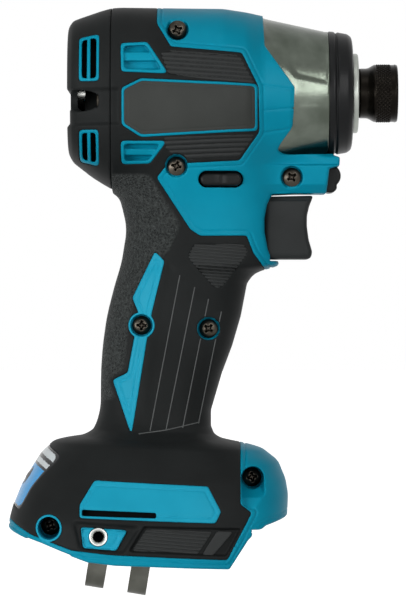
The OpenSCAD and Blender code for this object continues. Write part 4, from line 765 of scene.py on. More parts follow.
def rear_form(x, y, z):
    """Outside of the rear cover, with the shallow band round its middle."""
    form = np.maximum(head_form(x, y, z) + band_depth(x, z), x - SPLIT_X + JOINT_GAP)
    notch = np.maximum(np.maximum(np.abs(z - NOTCH_Z) - NOTCH_HALF, x - NOTCH_END), NOTCH_INNER - np.abs(y))
    return blend_max(form, -notch, NOTCH_EDGE)


REAR_SCREW_LOW, REAR_SCREW_HIGH = node_box("rear_screws")
REAR_HEAD_RADIUS = (REAR_SCREW_HIGH[2] - REAR_SCREW_LOW[2]) / 2
REAR_SCREW_Y = REAR_SCREW_HIGH[1] - REAR_HEAD_RADIUS
REAR_SCREW_Z = (REAR_SCREW_HIGH[2] + REAR_SCREW_LOW[2]) / 2
REAR_WELL_ROOM = 0.4
REAR_SKIN_EDGE = 0.4
REAR_SKIN_ROOT = SKIN_THICKNESS + 1.0


def rear_wells(field, x, y, z):
    """Takes the two screw wells out of the rear cover, down to the faces of the screws."""
    well = np.hypot(np.abs(y) - REAR_SCREW_Y, z - REAR_SCREW_Z) - REAR_HEAD_RADIUS - REAR_WELL_ROOM
    return blend_max(field, -np.maximum(well, x - REAR_SCREW_LOW[0] - REAR_WELL_ROOM), EDGE)


def rear_zone(x, z):
    """Signed distance to the edge of the rear cover's skin in the side view."""
    return np.max([-inlay(x, z) for inlay in REAR_INLAYS], 0)


def rear_cover_field(x, y, z):
    form = rear_form(x, y, z)
    field = form + UNDER_SKIN * step(-rear_zone(x, z) / UNDER_SLOPE)
    return rear_wells(rear_cuts(field, form, x, z), x, y, z)


def rear_skin_field(x, y, z):
    form = rear_form(x, y, z)
    field = blend_max(form, rear_zone(x, z) + SKIN_GAP, REAR_SKIN_EDGE)
    return rear_wells(np.maximum(field, -(form + REAR_SKIN_ROOT)), x, y, z)


# Meshing
BLOCK_CELLS = 6
# Most that a field changes per mm, and least squared slope that a step onto the surface divides by
STEEPEST = 1.5
FLATTEST = 0.05
# Blocks worked out at a time, steps onto the surface, and the longest step in cells
BATCH = 2000
STEPS_ONTO = 2
LONGEST_STEP = 0.4


def block_corners(field, low, high, cell):
    """Lowest node numbers of the blocks that the field's surface may pass through."""
    size = BLOCK_CELLS * cell
    counts = np.ceil((np.array(high) - low) / size).astype(int)
    blocks = np.stack(np.meshgrid(*(np.arange(n) for n in counts), indexing="ij"), -1).reshape(-1, 3)
    middles = np.array(low) + (blocks + 0.5) * size
    near = np.abs(field(*middles.T)) < STEEPEST * size * math.sqrt(3) / 2 + cell
    return blocks[near] * BLOCK_CELLS


CORNERS = np.array([(i, j, k) for i in (0, 1) for j in (0, 1) for k in (0, 1)])
EDGES = [(a, b) for a in range(8) for b in range(a + 1, 8) if np.abs(CORNERS[a] - CORNERS[b]).sum() == 1]


def net_cells(field, low, blocks, cell):
    """Cells that the surface passes through, and the field at their corners."""
    span = np.arange(BLOCK_CELLS + 1)
    offsets = np.stack(np.meshgrid(span, span, span, indexing="ij"), -1).reshape(-1, 3)
    cells = []
    values = []
    for start in range(0, len(blocks), BATCH):
        part = blocks[start:start + BATCH]
        nodes = (part[:, None, :] + offsets[None]).reshape(-1, 3)
        at = np.array(low) + nodes * cell
        f = field(*at.T).reshape(len(part), BLOCK_CELLS + 1, BLOCK_CELLS + 1, BLOCK_CELLS + 1)
        n = BLOCK_CELLS
        corner = np.stack([f[:, i:i + n, j:j + n, k:k + n] for i, j, k in CORNERS], -1)
        crossed = (corner.min(-1) < 0) & (corner.max(-1) >= 0)
        which, i, j, k = np.nonzero(crossed)
        cells.append(part[which] + np.column_stack([i, j, k]))
        values.append(corner[crossed])
    return np.concatenate(cells), np.concatenate(values)


def gradient(field, points, reach):
    columns = []
    for axis in range(3):
        shift = np.zeros(3)
        shift[axis] = reach
        columns.append((field(*(points + shift).T) - field(*(points - shift).T)) / (2 * reach))
    return np.column_stack(columns)


def meshed(field, low, high, cell, keep=None):
    """Points and quads of a field's surface, one point a cell, drawn onto it. Keep tests the quads."""
    low = np.array(low, float)
    cells, values = net_cells(field, low, block_corners(field, low, high, cell), cell)
    weight = np.zeros(len(cells))
    points = np.zeros((len(cells), 3))
    for a, b in EDGES:
        crossed = (values[:, a] < 0) != (values[:, b] < 0)
        share = values[crossed, a] / (values[crossed, a] - values[crossed, b])
        points[crossed] += CORNERS[a] + share[:, None] * (CORNERS[b] - CORNERS[a])
        weight[crossed] += 1
    points = low + (cells + points / weight[:, None]) * cell
    for _ in range(STEPS_ONTO):
        slope = gradient(field, points, cell / 4)
        move = field(*points.T)[:, None] * slope / np.maximum((slope ** 2).sum(1), FLATTEST)[:, None]
        length = np.linalg.norm(move, axis=1, keepdims=True)
        points = points - move * np.minimum(1, LONGEST_STEP * cell / np.maximum(length, TINY))
    counts = cells.max(0) + 3
    keys = ((cells[:, 0] + 1) * counts[1] + cells[:, 1] + 1) * counts[2] + cells[:, 2] + 1
    order = np.argsort(keys)
    sorted_keys = keys[order]
    strides = np.array([counts[1] * counts[2], counts[2], 1])
    quads = []
    for axis, far_corner in ((0, 4), (1, 2), (2, 1)):
        first, second = ((1, 2), (2, 0), (0, 1))[axis]
        inside = values[:, 0] < 0
        crossed = np.nonzero(inside != (values[:, far_corner] < 0))[0]
        at = keys[crossed]
        back = at - strides[first]
        around = np.stack([at, back, back - strides[second], at - strides[second]], 1)
        found = np.clip(np.searchsorted(sorted_keys, around), 0, len(keys) - 1)
        whole = (sorted_keys[found] == around).all(1)
        faces = order[found[whole]]
        outward = inside[crossed][whole]
        quads.append(np.where(outward[:, None], faces, faces[:, ::-1]))
    quads = np.concatenate(quads)
    return kept_faces(points, quads, keep) if keep else (points, quads)


def kept_faces(points, quads, keep):
    """The quads whose middles pass a test, with the points that they use."""
    middles = points[quads].mean(1)
    quads = quads[keep(*middles.T)]
    used, quads = np.unique(quads, return_inverse=True)
    return points[used], quads.reshape(-1, 4)


def shallow(form, depth):
    """Test for places that lie less than a depth under a form's surface."""
    return lambda x, y, z: form(x, y, z) > -depth


def mirrored(points, quads):
    """The same surface on the other side of the middle plane."""
    return points * (1, -1, 1), quads[:, ::-1]


def mesh_piece(name, points, quads, materials, body, nodes=(), paint=None, marks=None):
    """Object from points in mm. Paint gives each face's material; marks are named values at the points."""
    mesh = bpy.data.meshes.new(name)
    mesh.vertices.add(len(points))
    mesh.vertices.foreach_set("co", (points * MM).astype(np.float32).ravel())
    mesh.loops.add(quads.size)
    mesh.loops.foreach_set("vertex_index", quads.astype(np.int32).ravel())
    mesh.polygons.add(len(quads))
    mesh.polygons.foreach_set("loop_start", np.arange(0, quads.size, quads.shape[1], dtype=np.int32))
    if paint is not None:
        mesh.polygons.foreach_set("material_index", paint.astype(np.int32))
    mesh.update(calc_edges=True)
    mesh.validate()
    mesh.shade_smooth()
    for material in materials:
        mesh.materials.append(material)
    for key, values in (marks or {}).items():
        mesh.attributes.new(key, "FLOAT", "POINT").data.foreach_set("value", values.astype(np.float32))
    piece = bpy.data.objects.new(name, mesh)
    bpy.context.scene.collection.objects.link(piece)
    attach(piece, body)
    if nodes:
        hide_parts(*nodes)
    return piece


# Materials
def linear(*srgb):
    """Linear colour from 8-bit sRGB."""
    shares = [c / 255 for c in srgb]
    return tuple(c / 12.92 if c <= 0.04045 else ((c + 0.055) / 1.055) ** 2.4 for c in shares) + (1.0,)


class Finish:
    """A Principled material with its node tree at hand."""

    def __init__(self, name, roughness, metallic=0.0, specular=0.5):
        self.material = bpy.data.materials.new(name)
        self.material.use_nodes = True
        self.tree = self.material.node_tree
        self.shader = self.tree.nodes["Principled BSDF"]
        self.shader.inputs["Roughness"].default_value = roughness
        self.shader.inputs["Metallic"].default_value = metallic
        self.shader.inputs["Specular IOR Level"].default_value = specular
        self.place = self.tree.nodes.new("ShaderNodeTexCoord").outputs["Object"]
        self.height = None

    def node(self, kind, **inputs):
        made = self.tree.nodes.new(kind)
        for key, value in inputs.items():
            self.put(value, made.inputs[key.replace("_", " ")])
        return made

    def put(self, value, socket):
        if hasattr(value, "is_linked"):
            self.tree.links.new(value, socket)
        else:
            socket.default_value = value

    def noise(self, scale, detail=3.0, rough=0.5):
        made = self.node("ShaderNodeTexNoise", Vector=self.place, Scale=scale, Detail=detail, Roughness=rough)
        return made.outputs["Fac"]

    def ramp(self, value, low, high, start=0.3, end=0.7):
        made = self.node("ShaderNodeValToRGB", Fac=value)
        made.color_ramp.elements[0].position = start
        made.color_ramp.elements[1].position = end
        made.color_ramp.elements[0].color = low
        made.color_ramp.elements[1].color = high
        return made.outputs["Color"]

    def ranged(self, value, low, high):
        made = self.node("ShaderNodeMapRange", Value=value, To_Min=low, To_Max=high)
        return made.outputs["Result"]

    def times(self, a, b):
        made = self.tree.nodes.new("ShaderNodeMath")
        made.operation = "MULTIPLY"
        self.put(a, made.inputs[0])
        self.put(b, made.inputs[1])
        return made.outputs["Value"]

    def mixed(self, share, a, b):
        made = self.tree.nodes.new("ShaderNodeMix")
        made.data_type = "RGBA"
        self.put(share, made.inputs["Factor"])
        self.put(a, made.inputs[6])
        self.put(b, made.inputs[7])
        return made.outputs[2]

    def attribute(self, name):
        made = self.tree.nodes.new("ShaderNodeAttribute")
        made.attribute_name = name
        return made.outputs["Fac"]

    def bump(self, height, strength, distance):
        made = self.node("ShaderNodeBump", Height=height, Strength=strength, Distance=distance)
        if self.height is not None:
            self.tree.links.new(self.height, made.inputs["Normal"])
        self.height = made.outputs["Normal"]
        self.tree.links.new(self.height, self.shader.inputs["Normal"])

    def colour(self, socket):
        self.tree.links.new(socket, self.shader.inputs["Base Color"])

    def rough(self, socket):
        self.tree.links.new(socket, self.shader.inputs["Roughness"])


# How each kind varies: scale and detail of its colour drift and its gloss, detail and strength of its grain
PLASTIC = {"metallic": 0.0, "drift": (45.0, 4.0), "gloss": (160.0, 3.0), "detail": 2.0, "strength": 0.25}
METAL = {"metallic": 1.0, "drift": (140.0, 5.0), "gloss": (260.0, 4.0), "detail": 3.0, "strength": 0.3}


def finish(kind, name, dark, light, rough, grain, specular):
    """Finish between two colours and two roughnesses, with a grain's scale per metre and height in mm."""
    made = Finish(name, sum(rough) / 2, kind["metallic"], specular)
    made.colour(made.ramp(made.noise(*kind["drift"]), linear(*dark), linear(*light)))
    made.rough(made.ranged(made.noise(*kind["gloss"]), *rough))
    made.bump(made.noise(grain[0], kind["detail"]), kind["strength"], grain[1] * MM)
    return made


def plastic(name, dark, light, rough, grain, specular=0.4):
    """Moulded plastic, with a fine spark-eroded grain."""
    return finish(PLASTIC, name, dark, light, rough, grain, specular).material


def metal(name, dark, light, rough, grain):
    """Bare or plated metal."""
    return finish(METAL, name, dark, light, rough, grain, 0.5).material


LEATHER_CELLS = 1200.0
LEATHER_NOISE = (1700.0, 3.0, 0.6)
LEATHER_BUMP = (0.9, 0.002)
LEATHER_PALE = linear(74, 78, 77)
# Paler colour that the skin's ridge crests and ribs are mixed towards: a painted highlight
HIGHLIGHT_PALE = linear(84, 86, 86)


def skin_finish():
    """Black elastomer: fine matt grain, with coarse leather grain where the palm sits, and a painted
    highlight on ridge crests and ribs.
    """
    made = finish(PLASTIC, "elastomer", (18, 20, 20), (26, 28, 28), (0.5, 0.62), (2600.0, 0.04), 0.08)
    cells = made.node("ShaderNodeTexVoronoi", Vector=made.place, Scale=LEATHER_CELLS).outputs["Distance"]
    grain = made.attribute("grain")
    made.bump(made.times(made.times(cells, made.noise(*LEATHER_NOISE)), grain), *LEATHER_BUMP)
    drift = made.shader.inputs["Base Color"].links[0].from_socket
    # The ridge value pales the colour towards the highlight colour: a painted highlight on ridge crests and
    # ribs.
    highlighted = made.mixed(made.attribute("ridge"), drift, HIGHLIGHT_PALE)
    made.colour(made.mixed(made.times(grain, cells), highlighted, LEATHER_PALE))
    return made.material


TEAL = plastic("teal_plastic", (0, 124, 150), (4, 136, 163), (0.4, 0.5), (2400.0, 0.03), 0.08)
# Paler copy of the same teal plastic for the inlays and screw rings, which face the lights: painted light
TEAL_PAINTED_LIGHT = plastic("teal_painted_light", (20, 140, 168), (28, 152, 181), (0.4, 0.5), (2400.0, 0.03), 0.08)
SKIN_BLACK = skin_finish()
BLACK = plastic("black_plastic", (33, 35, 35), (43, 45, 45), (0.42, 0.54), (2200.0, 0.03), 0.1)
RUBBER = plastic("black_rubber", (13, 14, 15), (20, 21, 22), (0.3, 0.4), (1800.0, 0.03), 0.12)
SATIN_BLACK = plastic("satin_black", (7, 9, 9), (12, 14, 14), (0.34, 0.44), (1800.0, 0.02), 0.12)
GLOSS_BLACK = plastic("gloss_black", (24, 26, 27), (32, 34, 35), (0.16, 0.26), (1800.0, 0.01), 0.3)
# Near black: the seals' own colour, and painted shade deep in the housing's pocket and slots, the rear vents
# and the inserts' bores
BLACK_AND_PAINTED_SHADE = plastic("seal_black_and_painted_shade", (6, 8, 9), (12, 14, 15), (0.7, 0.85), (900.0, 0.03), 0.05)
PLATE_GREY = plastic("plate_film", (48, 50, 48), (56, 58, 56), (0.4, 0.5), (1500.0, 0.01), 0.1)
PANEL_BLUE = plastic("panel_blue", (16, 138, 204), (32, 156, 218), (0.2, 0.3), (1500.0, 0.01))
PANEL_WHITE = plastic("panel_white", (188, 196, 198), (206, 212, 214), (0.2, 0.3), (1500.0, 0.01))
CAST = metal("cast_alloy", (74, 80, 72), (95, 101, 93), (0.2, 0.3), (900.0, 0.12))
TURNED = metal("turned_alloy", (140, 144, 138), (164, 168, 162), (0.3, 0.42), (1500.0, 0.03))
HOOK_STEEL = metal("hook_steel", (72, 72, 67), (90, 90, 84), (0.34, 0.46), (1200.0, 0.04))
STEEL = metal("bright_steel", (176, 177, 174), (206, 207, 203), (0.2, 0.34), (1500.0, 0.02))
BLACK_STEEL = metal("blackened_steel", (16, 14, 12), (28, 26, 23), (0.24, 0.38), (1600.0, 0.02))
SCREW_STEEL = metal("screw_steel", (48, 45, 40), (72, 67, 60), (0.26, 0.4), (1400.0, 0.03))
# Finishes of the record's material slots, for the CAD nodes that stay
SLOT_FINISH = {
    "housing": TEAL, "skin": SKIN_BLACK, "black_plastic": BLACK, "plate": PLATE_GREY, "panel": GLOSS_BLACK,
    "cast": CAST, "dark_steel": BLACK_STEEL, "steel": STEEL, "screw": SCREW_STEEL, "seal": BLACK_AND_PAINTED_SHADE,
    "lens": GLOSS_BLACK,
    "bronze": metal("bronze", (168, 128, 76), (196, 152, 96), (0.3, 0.45), (1200.0, 0.03)),
    "copper": metal("copper", (184, 106, 62), (212, 130, 82), (0.28, 0.42), (1400.0, 0.03)),
    "lamination": metal("lamination", (110, 112, 114), (140, 142, 144), (0.35, 0.5), (2000.0, 0.05)),
    "magnet": metal("magnet", (84, 86, 90), (110, 112, 116), (0.3, 0.4), (900.0, 0.03)),
    "white_plastic": plastic("white_plastic", (206, 206, 200), (222, 222, 216), (0.4, 0.52), (1800.0, 0.03)),
    "board": plastic("board", (20, 84, 52), (30, 102, 64), (0.34, 0.46), (1500.0, 0.02)),
    "lead": plastic("lead_cover", (34, 34, 36), (52, 52, 54), (0.42, 0.55), (1500.0, 0.03))}


# Moulded pieces
CELL = 0.4
LOW = (-134.0, -CELL, -166.0)
HIGH = (-16.0, 40.5, 31.0)
# Parts of a shell that are kept: how far in from the skin's edge, from the surface and up in the battery bay
UNDER_EDGE = 2.5
NEAR_SURFACE = 0.2
BAY_TOP = 16 - FOOT_DROP
SKIN_KEPT = SKIN_THICKNESS + 1.1
# Parts given painted shade or painted light: depths in the trigger's pocket and the slots below which shade
# is painted, and how far past an outline
POCKET_DEPTH = 1.6
SLOT_SHADE = 0.9
PAINT_EDGE = 0.3
GRAIN_FADE = 1.5


def skin_marks(count, grain=0.0, ridge=0.0):
    """Values at a skin piece's points: how much leather grain there is, and how much painted highlight pales
    them.
    """
    return {"grain": np.full(count, grain), "ridge": np.full(count, ridge)}


def half_shell(name, field, right, materials, nodes, keep, paint=None, marks=None):
    """One side of a moulded shell, with its edge on the middle plane. It is meshed for y above zero."""
    points, quads = meshed(lambda x, y, z: field(x, np.abs(y), z, right), LOW, HIGH, CELL, keep)
    points[:, 1] = np.maximum(points[:, 1], 0)
    painted = paint(*points[quads].mean(1).T) if paint else None
    values = marks(*points.T) if marks else None
    if right:
        points, quads = mirrored(points, quads)
    mesh_piece(name, points, quads, materials, "frame", nodes, painted, values)


def housing_paint(x, y, z):
    """Material number of the housing at each place: teal, painted shade deep in the pocket and slots, or
    paler teal as painted light on the inlays and rings.
    """
    form = whole_form(x, y, z)
    # Deep in the trigger's pocket and in the foot and lever slots the teal housing is painted near black:
    # painted shade.
    pocket = (TRIGGER_SIDE(x + TRIGGER_TRAVEL, z) < POCKET_ROOM) & (form < -POCKET_DEPTH)
    slots = (np.minimum(FOOT_SLOT(x, z), LEVER_SLOT(x, z)) < PAINT_EDGE) & (form < -SLOT_SHADE)
    # The inlays and the rings round two screws take the paler teal: painted light.
    inlay = np.min([outline(x, z) for outline in LOW_INLAYS], 0) < PAINT_EDGE
    for place in RING_PLACES:
        inlay |= np.hypot(x - place[0], z - place[2]) < RING_RADIUS + PAINT_EDGE
    return np.where(pocket | slots, 1, np.where(inlay, 2, 0))


def grip_marks(x, y, z):
    return skin_marks(len(x), step(-GRAIN(x, z) / GRAIN_FADE))


def housings():
    for right in (True, False):
        side = "right" if right else "left"

        def seen(x, y, z):
            bare = (skin_zone(x, z, right) > -UNDER_EDGE) | (whole_form(x, y, z) > -NEAR_SURFACE)
            outside_case = (np.hypot(y, z) > CASE_FRONT_R) | (x < SPLIT_X) | (z < -CASE_FRONT_R)
            return (bare | (z < BAY_TOP)) & outside_case

        half_shell("housing_shell_" + side, housing_field, right, (TEAL, BLACK_AND_PAINTED_SHADE, TEAL_PAINTED_LIGHT),
                   ("housing_" + side,), seen, housing_paint)
        half_shell("grip_skin_" + side, skin_field, right, (SKIN_BLACK,),
                   ("skin_" + side,), shallow(whole_form, SKIN_KEPT), None, grip_marks)


REAR_LOW = (-112.0, -34.0, -36.0)
REAR_HIGH = (SPLIT_X + 0.5, 34.0, 31.0)
REAR_UNDER_EDGE = 2.0
REAR_SHADE = 2.0
REAR_SKIN_KEPT = SKIN_THICKNESS + 0.8


def rear_pieces():
    def bare(x, y, z):
        return rear_zone(x, z) > -REAR_UNDER_EDGE

    points, quads = meshed(rear_cover_field, REAR_LOW, REAR_HIGH, CELL, bare)
    # Faces more than REAR_SHADE under the rear cover's outside, in its vents and wells, get painted shade.
    deep = rear_form(*points[quads].mean(1).T) < -REAR_SHADE
    mesh_piece("rear_cover_shell", points, quads, (TEAL, BLACK_AND_PAINTED_SHADE), "frame", ("rear_cover",), deep)
    outer = shallow(rear_form, REAR_SKIN_KEPT)
    points, quads = meshed(rear_skin_field, REAR_LOW, REAR_HIGH, CELL, outer)
    marks = skin_marks(len(points))
    mesh_piece("rear_cover_skin", points, quads, (SKIN_BLACK,), "frame", ("rear_skin",), None, marks)


# Nose
def lathe(profile, around, wave=None):
    """Points and quads of a profile of (x, r) turned about the drive axis. Wave gives a rise at an angle."""
    angle = np.linspace(0, 2 * math.pi, around, endpoint=False)
    x = np.repeat(profile[:, 0][:, None], around, 1)
    r = np.repeat(profile[:, 1][:, None], around, 1)
    if wave:
        r = r + wave(x, angle[None, :])
    points = np.stack([x, r * np.cos(angle), r * np.sin(angle)], -1).reshape(-1, 3)
    i, j = np.meshgrid(np.arange(len(profile) - 1), np.arange(around), indexing="ij")
    k = (j + 1) % around
    row = i * around
    after = row + around
    return points, np.stack([row + j, after + j, after + k, row + k], -1).reshape(-1, 4)


def rounded_profile(corners, radius, steps=5):
    """Profile through corners in (x, r), each inner corner rounded by an arc-like curve."""
    corners = np.array(corners, float)
    path = [corners[0]]
    for before, at, after in zip(corners[:-2], corners[1:-1], corners[2:]):
        start = at + (before - at) * min(0.5, radius / np.linalg.norm(before - at))
        end = at + (after - at) * min(0.5, radius / np.linalg.norm(after - at))
        for t in np.linspace(0, 1, steps):
            path.append((1 - t) ** 2 * start + 2 * t * (1 - t) * at + t ** 2 * end)
    path.append(corners[-1])
    return np.array(path)


SLEEVE_FRONT = 0.0
SLEEVE_BACK = -13.0
SLEEVE_NECK = 8.4
SLEEVE_BAND = 9.75
SLEEVE_BORE = 7.2
SLEEVE_REAR_ROUND = 0.8
SLEEVE_NOSE_ROUND = 0.4
SLEEVE_AROUND = 352
KNURLS = 44
KNURL_RISE = 0.2
KNURL_FROM = -7.4
KNURL_TO = -2.2
KNURL_FADE = 0.4
KNURL_SINK = 0.15
KNURL_LEAD = 0.1
KNURL_STEP = 0.11
# Corners of the sleeve in (x, r), behind and ahead of the knurled band
SLEEVE_REAR = (
    (SLEEVE_BACK, SLEEVE_BORE), (SLEEVE_BACK, SLEEVE_NECK), (-10.0, SLEEVE_NECK), (-7.9, SLEEVE_BAND - 0.1),
    (KNURL_FROM, SLEEVE_BAND - 0.1))
SLEEVE_NOSE = (
    (KNURL_TO, SLEEVE_BAND - KNURL_SINK), (-1.0, SLEEVE_BAND - 0.1), (-0.9, SLEEVE_BAND + 0.05),
    (SLEEVE_FRONT, SLEEVE_BAND - 0.25), (SLEEVE_FRONT, 6.6), (-0.8, 6.2), (-2.0, 6.0))


def knurl(x, angle):
    """Diamond knurl on the sleeve's band."""
    slope = KNURLS / SLEEVE_BAND
    a = np.abs(np.sin((KNURLS * angle + slope * x) / 2))
    b = np.abs(np.sin((KNURLS * angle - slope * x) / 2))
    band = step((x - KNURL_FROM) / KNURL_FADE) * step((KNURL_TO - x) / KNURL_FADE)
    return KNURL_RISE * band * (np.minimum(a, b) * 2 - 1)


def sleeve():
    band_x = np.arange(KNURL_FROM + KNURL_LEAD, KNURL_TO, KNURL_STEP)
    band = np.column_stack([band_x, np.full(len(band_x), SLEEVE_BAND - KNURL_SINK)])
    rear = rounded_profile(SLEEVE_REAR, SLEEVE_REAR_ROUND)
    nose = rounded_profile(SLEEVE_NOSE, SLEEVE_NOSE_ROUND)
    profile = np.concatenate([rear, band, nose])
    points, quads = lathe(profile, SLEEVE_AROUND, knurl)
    mesh_piece("sleeve_knurled", points, quads, (BLACK_STEEL,), "sleeve", ("bit_sleeve",))


NOSE_AROUND = 160
BUMPER_ROUND = 0.5
# Rounding of small turned corners, and its points
FINE_ROUND = (0.2, 3)
BUMPER_CORNERS = (
    (-23.4, 18.5), (-23.4, 20.9), (-21.4, 20.75), (-21.1, 20.2), (-20.6, 20.2), (-20.4, 20.6), (-17.0, 20.0),
    (-15.7, 19.0), (-15.3, 17.6), (-15.3, 13.8))


def bumper():
    points, quads = lathe(rounded_profile(BUMPER_CORNERS, BUMPER_ROUND), NOSE_AROUND)
    mesh_piece("bumper_ring", points, quads, (RUBBER,), "frame", ("nose_bumper",))


BOSS_R = 13.4
BOSS_CORNERS = ((-15.6, 12.9), (-15.2, BOSS_R), (-13.7, BOSS_R), (-13.3, BOSS_R - 0.4), (-13.3, 9.2))
CASE_LOW = (-50.5, -27.5, -27.5)
CASE_HIGH = (-22.5, 27.5, 27.5)
# How the case meets the housing: depth, gap and slope of its tuck, and how far back it is made and kept
TUCK_DEPTH = 1.4
TUCK_GAP = 0.25
TUCK_SLOPE = 0.4
CASE_OVERLAP = 4
CASE_KEPT = 3.5
CASE_BORE = 17
CASE_SINK = 0.5
CASE_FRONT_GAP = 0.1
CASE_EDGE = 0.6
FACET_DEPTH = 0.4
FACET_SLOPE = 2.4
CASE_LINE_RISE = 0.12
CASE_LINE_WIDTH = 0.9


def case_field(x, y, z):
    """Cast hammer case: a cone with cast steps, its edge tucked under the housing."""
    cone = np.interp(x, (CASE_REAR_X, CASE_FRONT_X), (CASE_REAR_R, CASE_FRONT_R))
    tucked = TUCK_DEPTH * step(-(CHEEK(x, z) + TUCK_GAP) / TUCK_SLOPE)
    cast = FACET_DEPTH * step(0.5 - CASE_FACET(x, z) / FACET_SLOPE)
    for line in CASE_LINES:
        cast = cast - CASE_LINE_RISE * groove(np.maximum(line(x, z), 0), CASE_LINE_WIDTH)
    body = np.hypot(y, z) - cone + CASE_SINK + cast + tucked
    body = blend_max(body, x - CASE_FRONT_X - CASE_FRONT_GAP, CASE_EDGE)
    return np.maximum(body, CASE_REAR_X - CASE_OVERLAP - x)


def hammer_case():
    def seen(x, y, z):
        return (np.hypot(y, z) > CASE_BORE) & (x > CASE_REAR_X - CASE_KEPT)

    points, quads = meshed(case_field, CASE_LOW, CASE_HIGH, CELL, seen)
    boss_points, boss_quads = lathe(rounded_profile(BOSS_CORNERS, *FINE_ROUND), NOSE_AROUND)
    paint = np.repeat((0, 1), (len(quads), len(boss_quads)))
    quads = np.concatenate([quads, boss_quads + len(points)])
    points = np.concatenate([points, boss_points])
    mesh_piece("hammer_case_cast", points, quads, (CAST, TURNED), "frame", ("hammer_case",), paint)


# Controls
SWITCH_FRONT = node_box("switch_body")[1][0]
TRIGGER_CLEAR = 0.1
TRIGGER_BACK = SWITCH_FRONT + TRIGGER_STROKE + TRIGGER_CLEAR
TRIGGER_BACK_EDGE = 0.4
TRIGGER_EDGE = 2.4
# Above this height the trigger is narrower, to slide under the chin
TRIGGER_STEP_Z = -36.6
TRIGGER_STEP = 0.5
TRIGGER_STEP_SLOPE = 0.5
LEVER_DISH = 0.5
LEVER_DISH_WIDTH = 1.6
LEVER_EDGE = 1.2
LEVER_INNER = 12
# Lamp: middle and radii of its upper and lower lobes in the side view, half width and back
LAMP_UPPER = ((-22.4, -28.0), (3.2, 3.6))
LAMP_LOWER = ((-22.9, -31.8), (2.4, 1.9))
LAMP_HALF = 6.9
LAMP_BACK = -24.5
LAMP_NECK = 0.5
LAMP_SIDE_EDGE = 1.0
LAMP_BACK_EDGE = 0.4
# Corners of the boxes that the controls are meshed in
TRIGGER_BOX = ((-47.0, -10.0, -58.0), (-24.0, 10.0, -32.0))
LEVER_BOX = ((-68.0, -23.0, -33.0), (-51.0, 23.0, -26.0))
LAMP_BOX = ((-26.0, -8.0, -35.0), (-18.0, 8.0, -23.0))
CONTROL_CELL = 0.35
LAMP_CELL = 0.3


def trigger_field(x, y, z):
    side = blend_max(TRIGGER_SIDE(x, z), TRIGGER_BACK - x, TRIGGER_BACK_EDGE)
    width = TRIGGER_HALF - TRIGGER_STEP * step((z - TRIGGER_STEP_Z) / TRIGGER_STEP_SLOPE)
    return blend_max(side, np.abs(y) - width, TRIGGER_EDGE)


def lever_field(x, y, z):
    dish = LEVER_DISH * groove(x - LEVER_PLACE[0], LEVER_DISH_WIDTH)
    return blend_max(LEVER_SIDE(x, z), np.abs(y) - LEVER_REACH + dish, LEVER_EDGE)


def lobe(x, z, middle, radii):
    """Distance-like value from an ellipse in the side view."""
    size = min(radii)
    return np.hypot((x - middle[0]) / radii[0], (z - middle[1]) / radii[1]) * size - size


def lamp_field(x, y, z):
    body = blend_min(lobe(x, z, *LAMP_UPPER), lobe(x, z, *LAMP_LOWER), LAMP_NECK)
    body = blend_max(body, np.abs(y) - LAMP_HALF, LAMP_SIDE_EDGE)
    return blend_max(body, LAMP_BACK - x, LAMP_BACK_EDGE)


def controls():
    points, quads = meshed(trigger_field, *TRIGGER_BOX, CONTROL_CELL)
    mesh_piece("trigger_moulded", points, quads, (BLACK,), "trigger", ("trigger",))
    points, quads = meshed(lever_field, *LEVER_BOX, CONTROL_CELL, lambda x, y, z: np.abs(y) > LEVER_INNER)
    mesh_piece("lever_moulded", points, quads, (SATIN_BLACK,), "lever", ("direction_lever",))
    points, quads = meshed(lamp_field, *LAMP_BOX, LAMP_CELL)
    mesh_piece("lamp_lens_moulded", points, quads, (SATIN_BLACK,), "frame", ("lamp_lens",))


# Ribbed inlays, plate and screws
RIB_ROUND = 0.6
RIB_GAP = 0.05
RIB_ROOT = 1.3
RIB_KEPT = 0.9
RIB_WELL = WELL_RADIUS + 0.6
RIB_CELL = 0.22
RIB_MARGIN = 1
RIB_Y = (3.0, 40.0)
# How far the ribs of the foot stay below the tool's surface
FOOT_RIB_SINK = RIB_SINK - 0.5


def rib_field(outline, start, end, pitch, sink, right):
    """Field of a ribbed patch in the skin: ribs run from start to end, and are a pitch apart."""
    along = np.array(end) - start
    across = np.array([-along[1], along[0]]) / np.linalg.norm(along)

    def field(x, y, z):
        form = whole_form(x, y, z)
        t = (x - start[0]) * across[0] + (z - start[1]) * across[1]
        wave = 0.5 - 0.5 * np.cos(2 * math.pi * t / pitch)
        surface = form + sink * (1 - wave ** RIB_ROUND)
        patch = np.maximum(np.maximum(surface, outline(x, z) + RIB_GAP), -(form + RIB_ROOT))
        return np.maximum(patch, -screw_distance(x, z, RIB_WELL)) if right else patch
    return field


# Outline, line that the ribs follow, pitch and depth
RIBS = {
    "upper_strip": (UPPER_STRIP, traced((160, 60), (250, 66)), 1.45, 0.5),
    "lower_strip": (LOWER_STRIP, traced((160, 150), (250, 146)), 1.55, 0.55),
    "grip_patch": (RIB_PATCH, traced((190, 262), (245, 266)), 1.05, 0.45),
    "foot_patch": (RIB_BLOCK, traced((140, 536), (210, 542)), 1.15, 0.5),
    "foot_block": (PLAIN_BLOCK, traced((140, 536), (210, 542)), 1.15, 0.0)}


def sunk(field, depth):
    """The same field, moved in from the left side by a depth."""
    return lambda x, y, z: field(x, y + depth, z)


def skin_relief_piece(name, right, points, quads, ridge):
    """A raised piece of the skin, made for the left and mirrored to the right."""
    if right:
        points, quads = mirrored(points, quads)
    # Ridge is the share of painted highlight on this piece.
    marks = skin_marks(len(points), 0.0, ridge)
    name = name + ("_right" if right else "_left")
    mesh_piece(name, points, quads, (SKIN_BLACK,), "frame", (), None, marks)


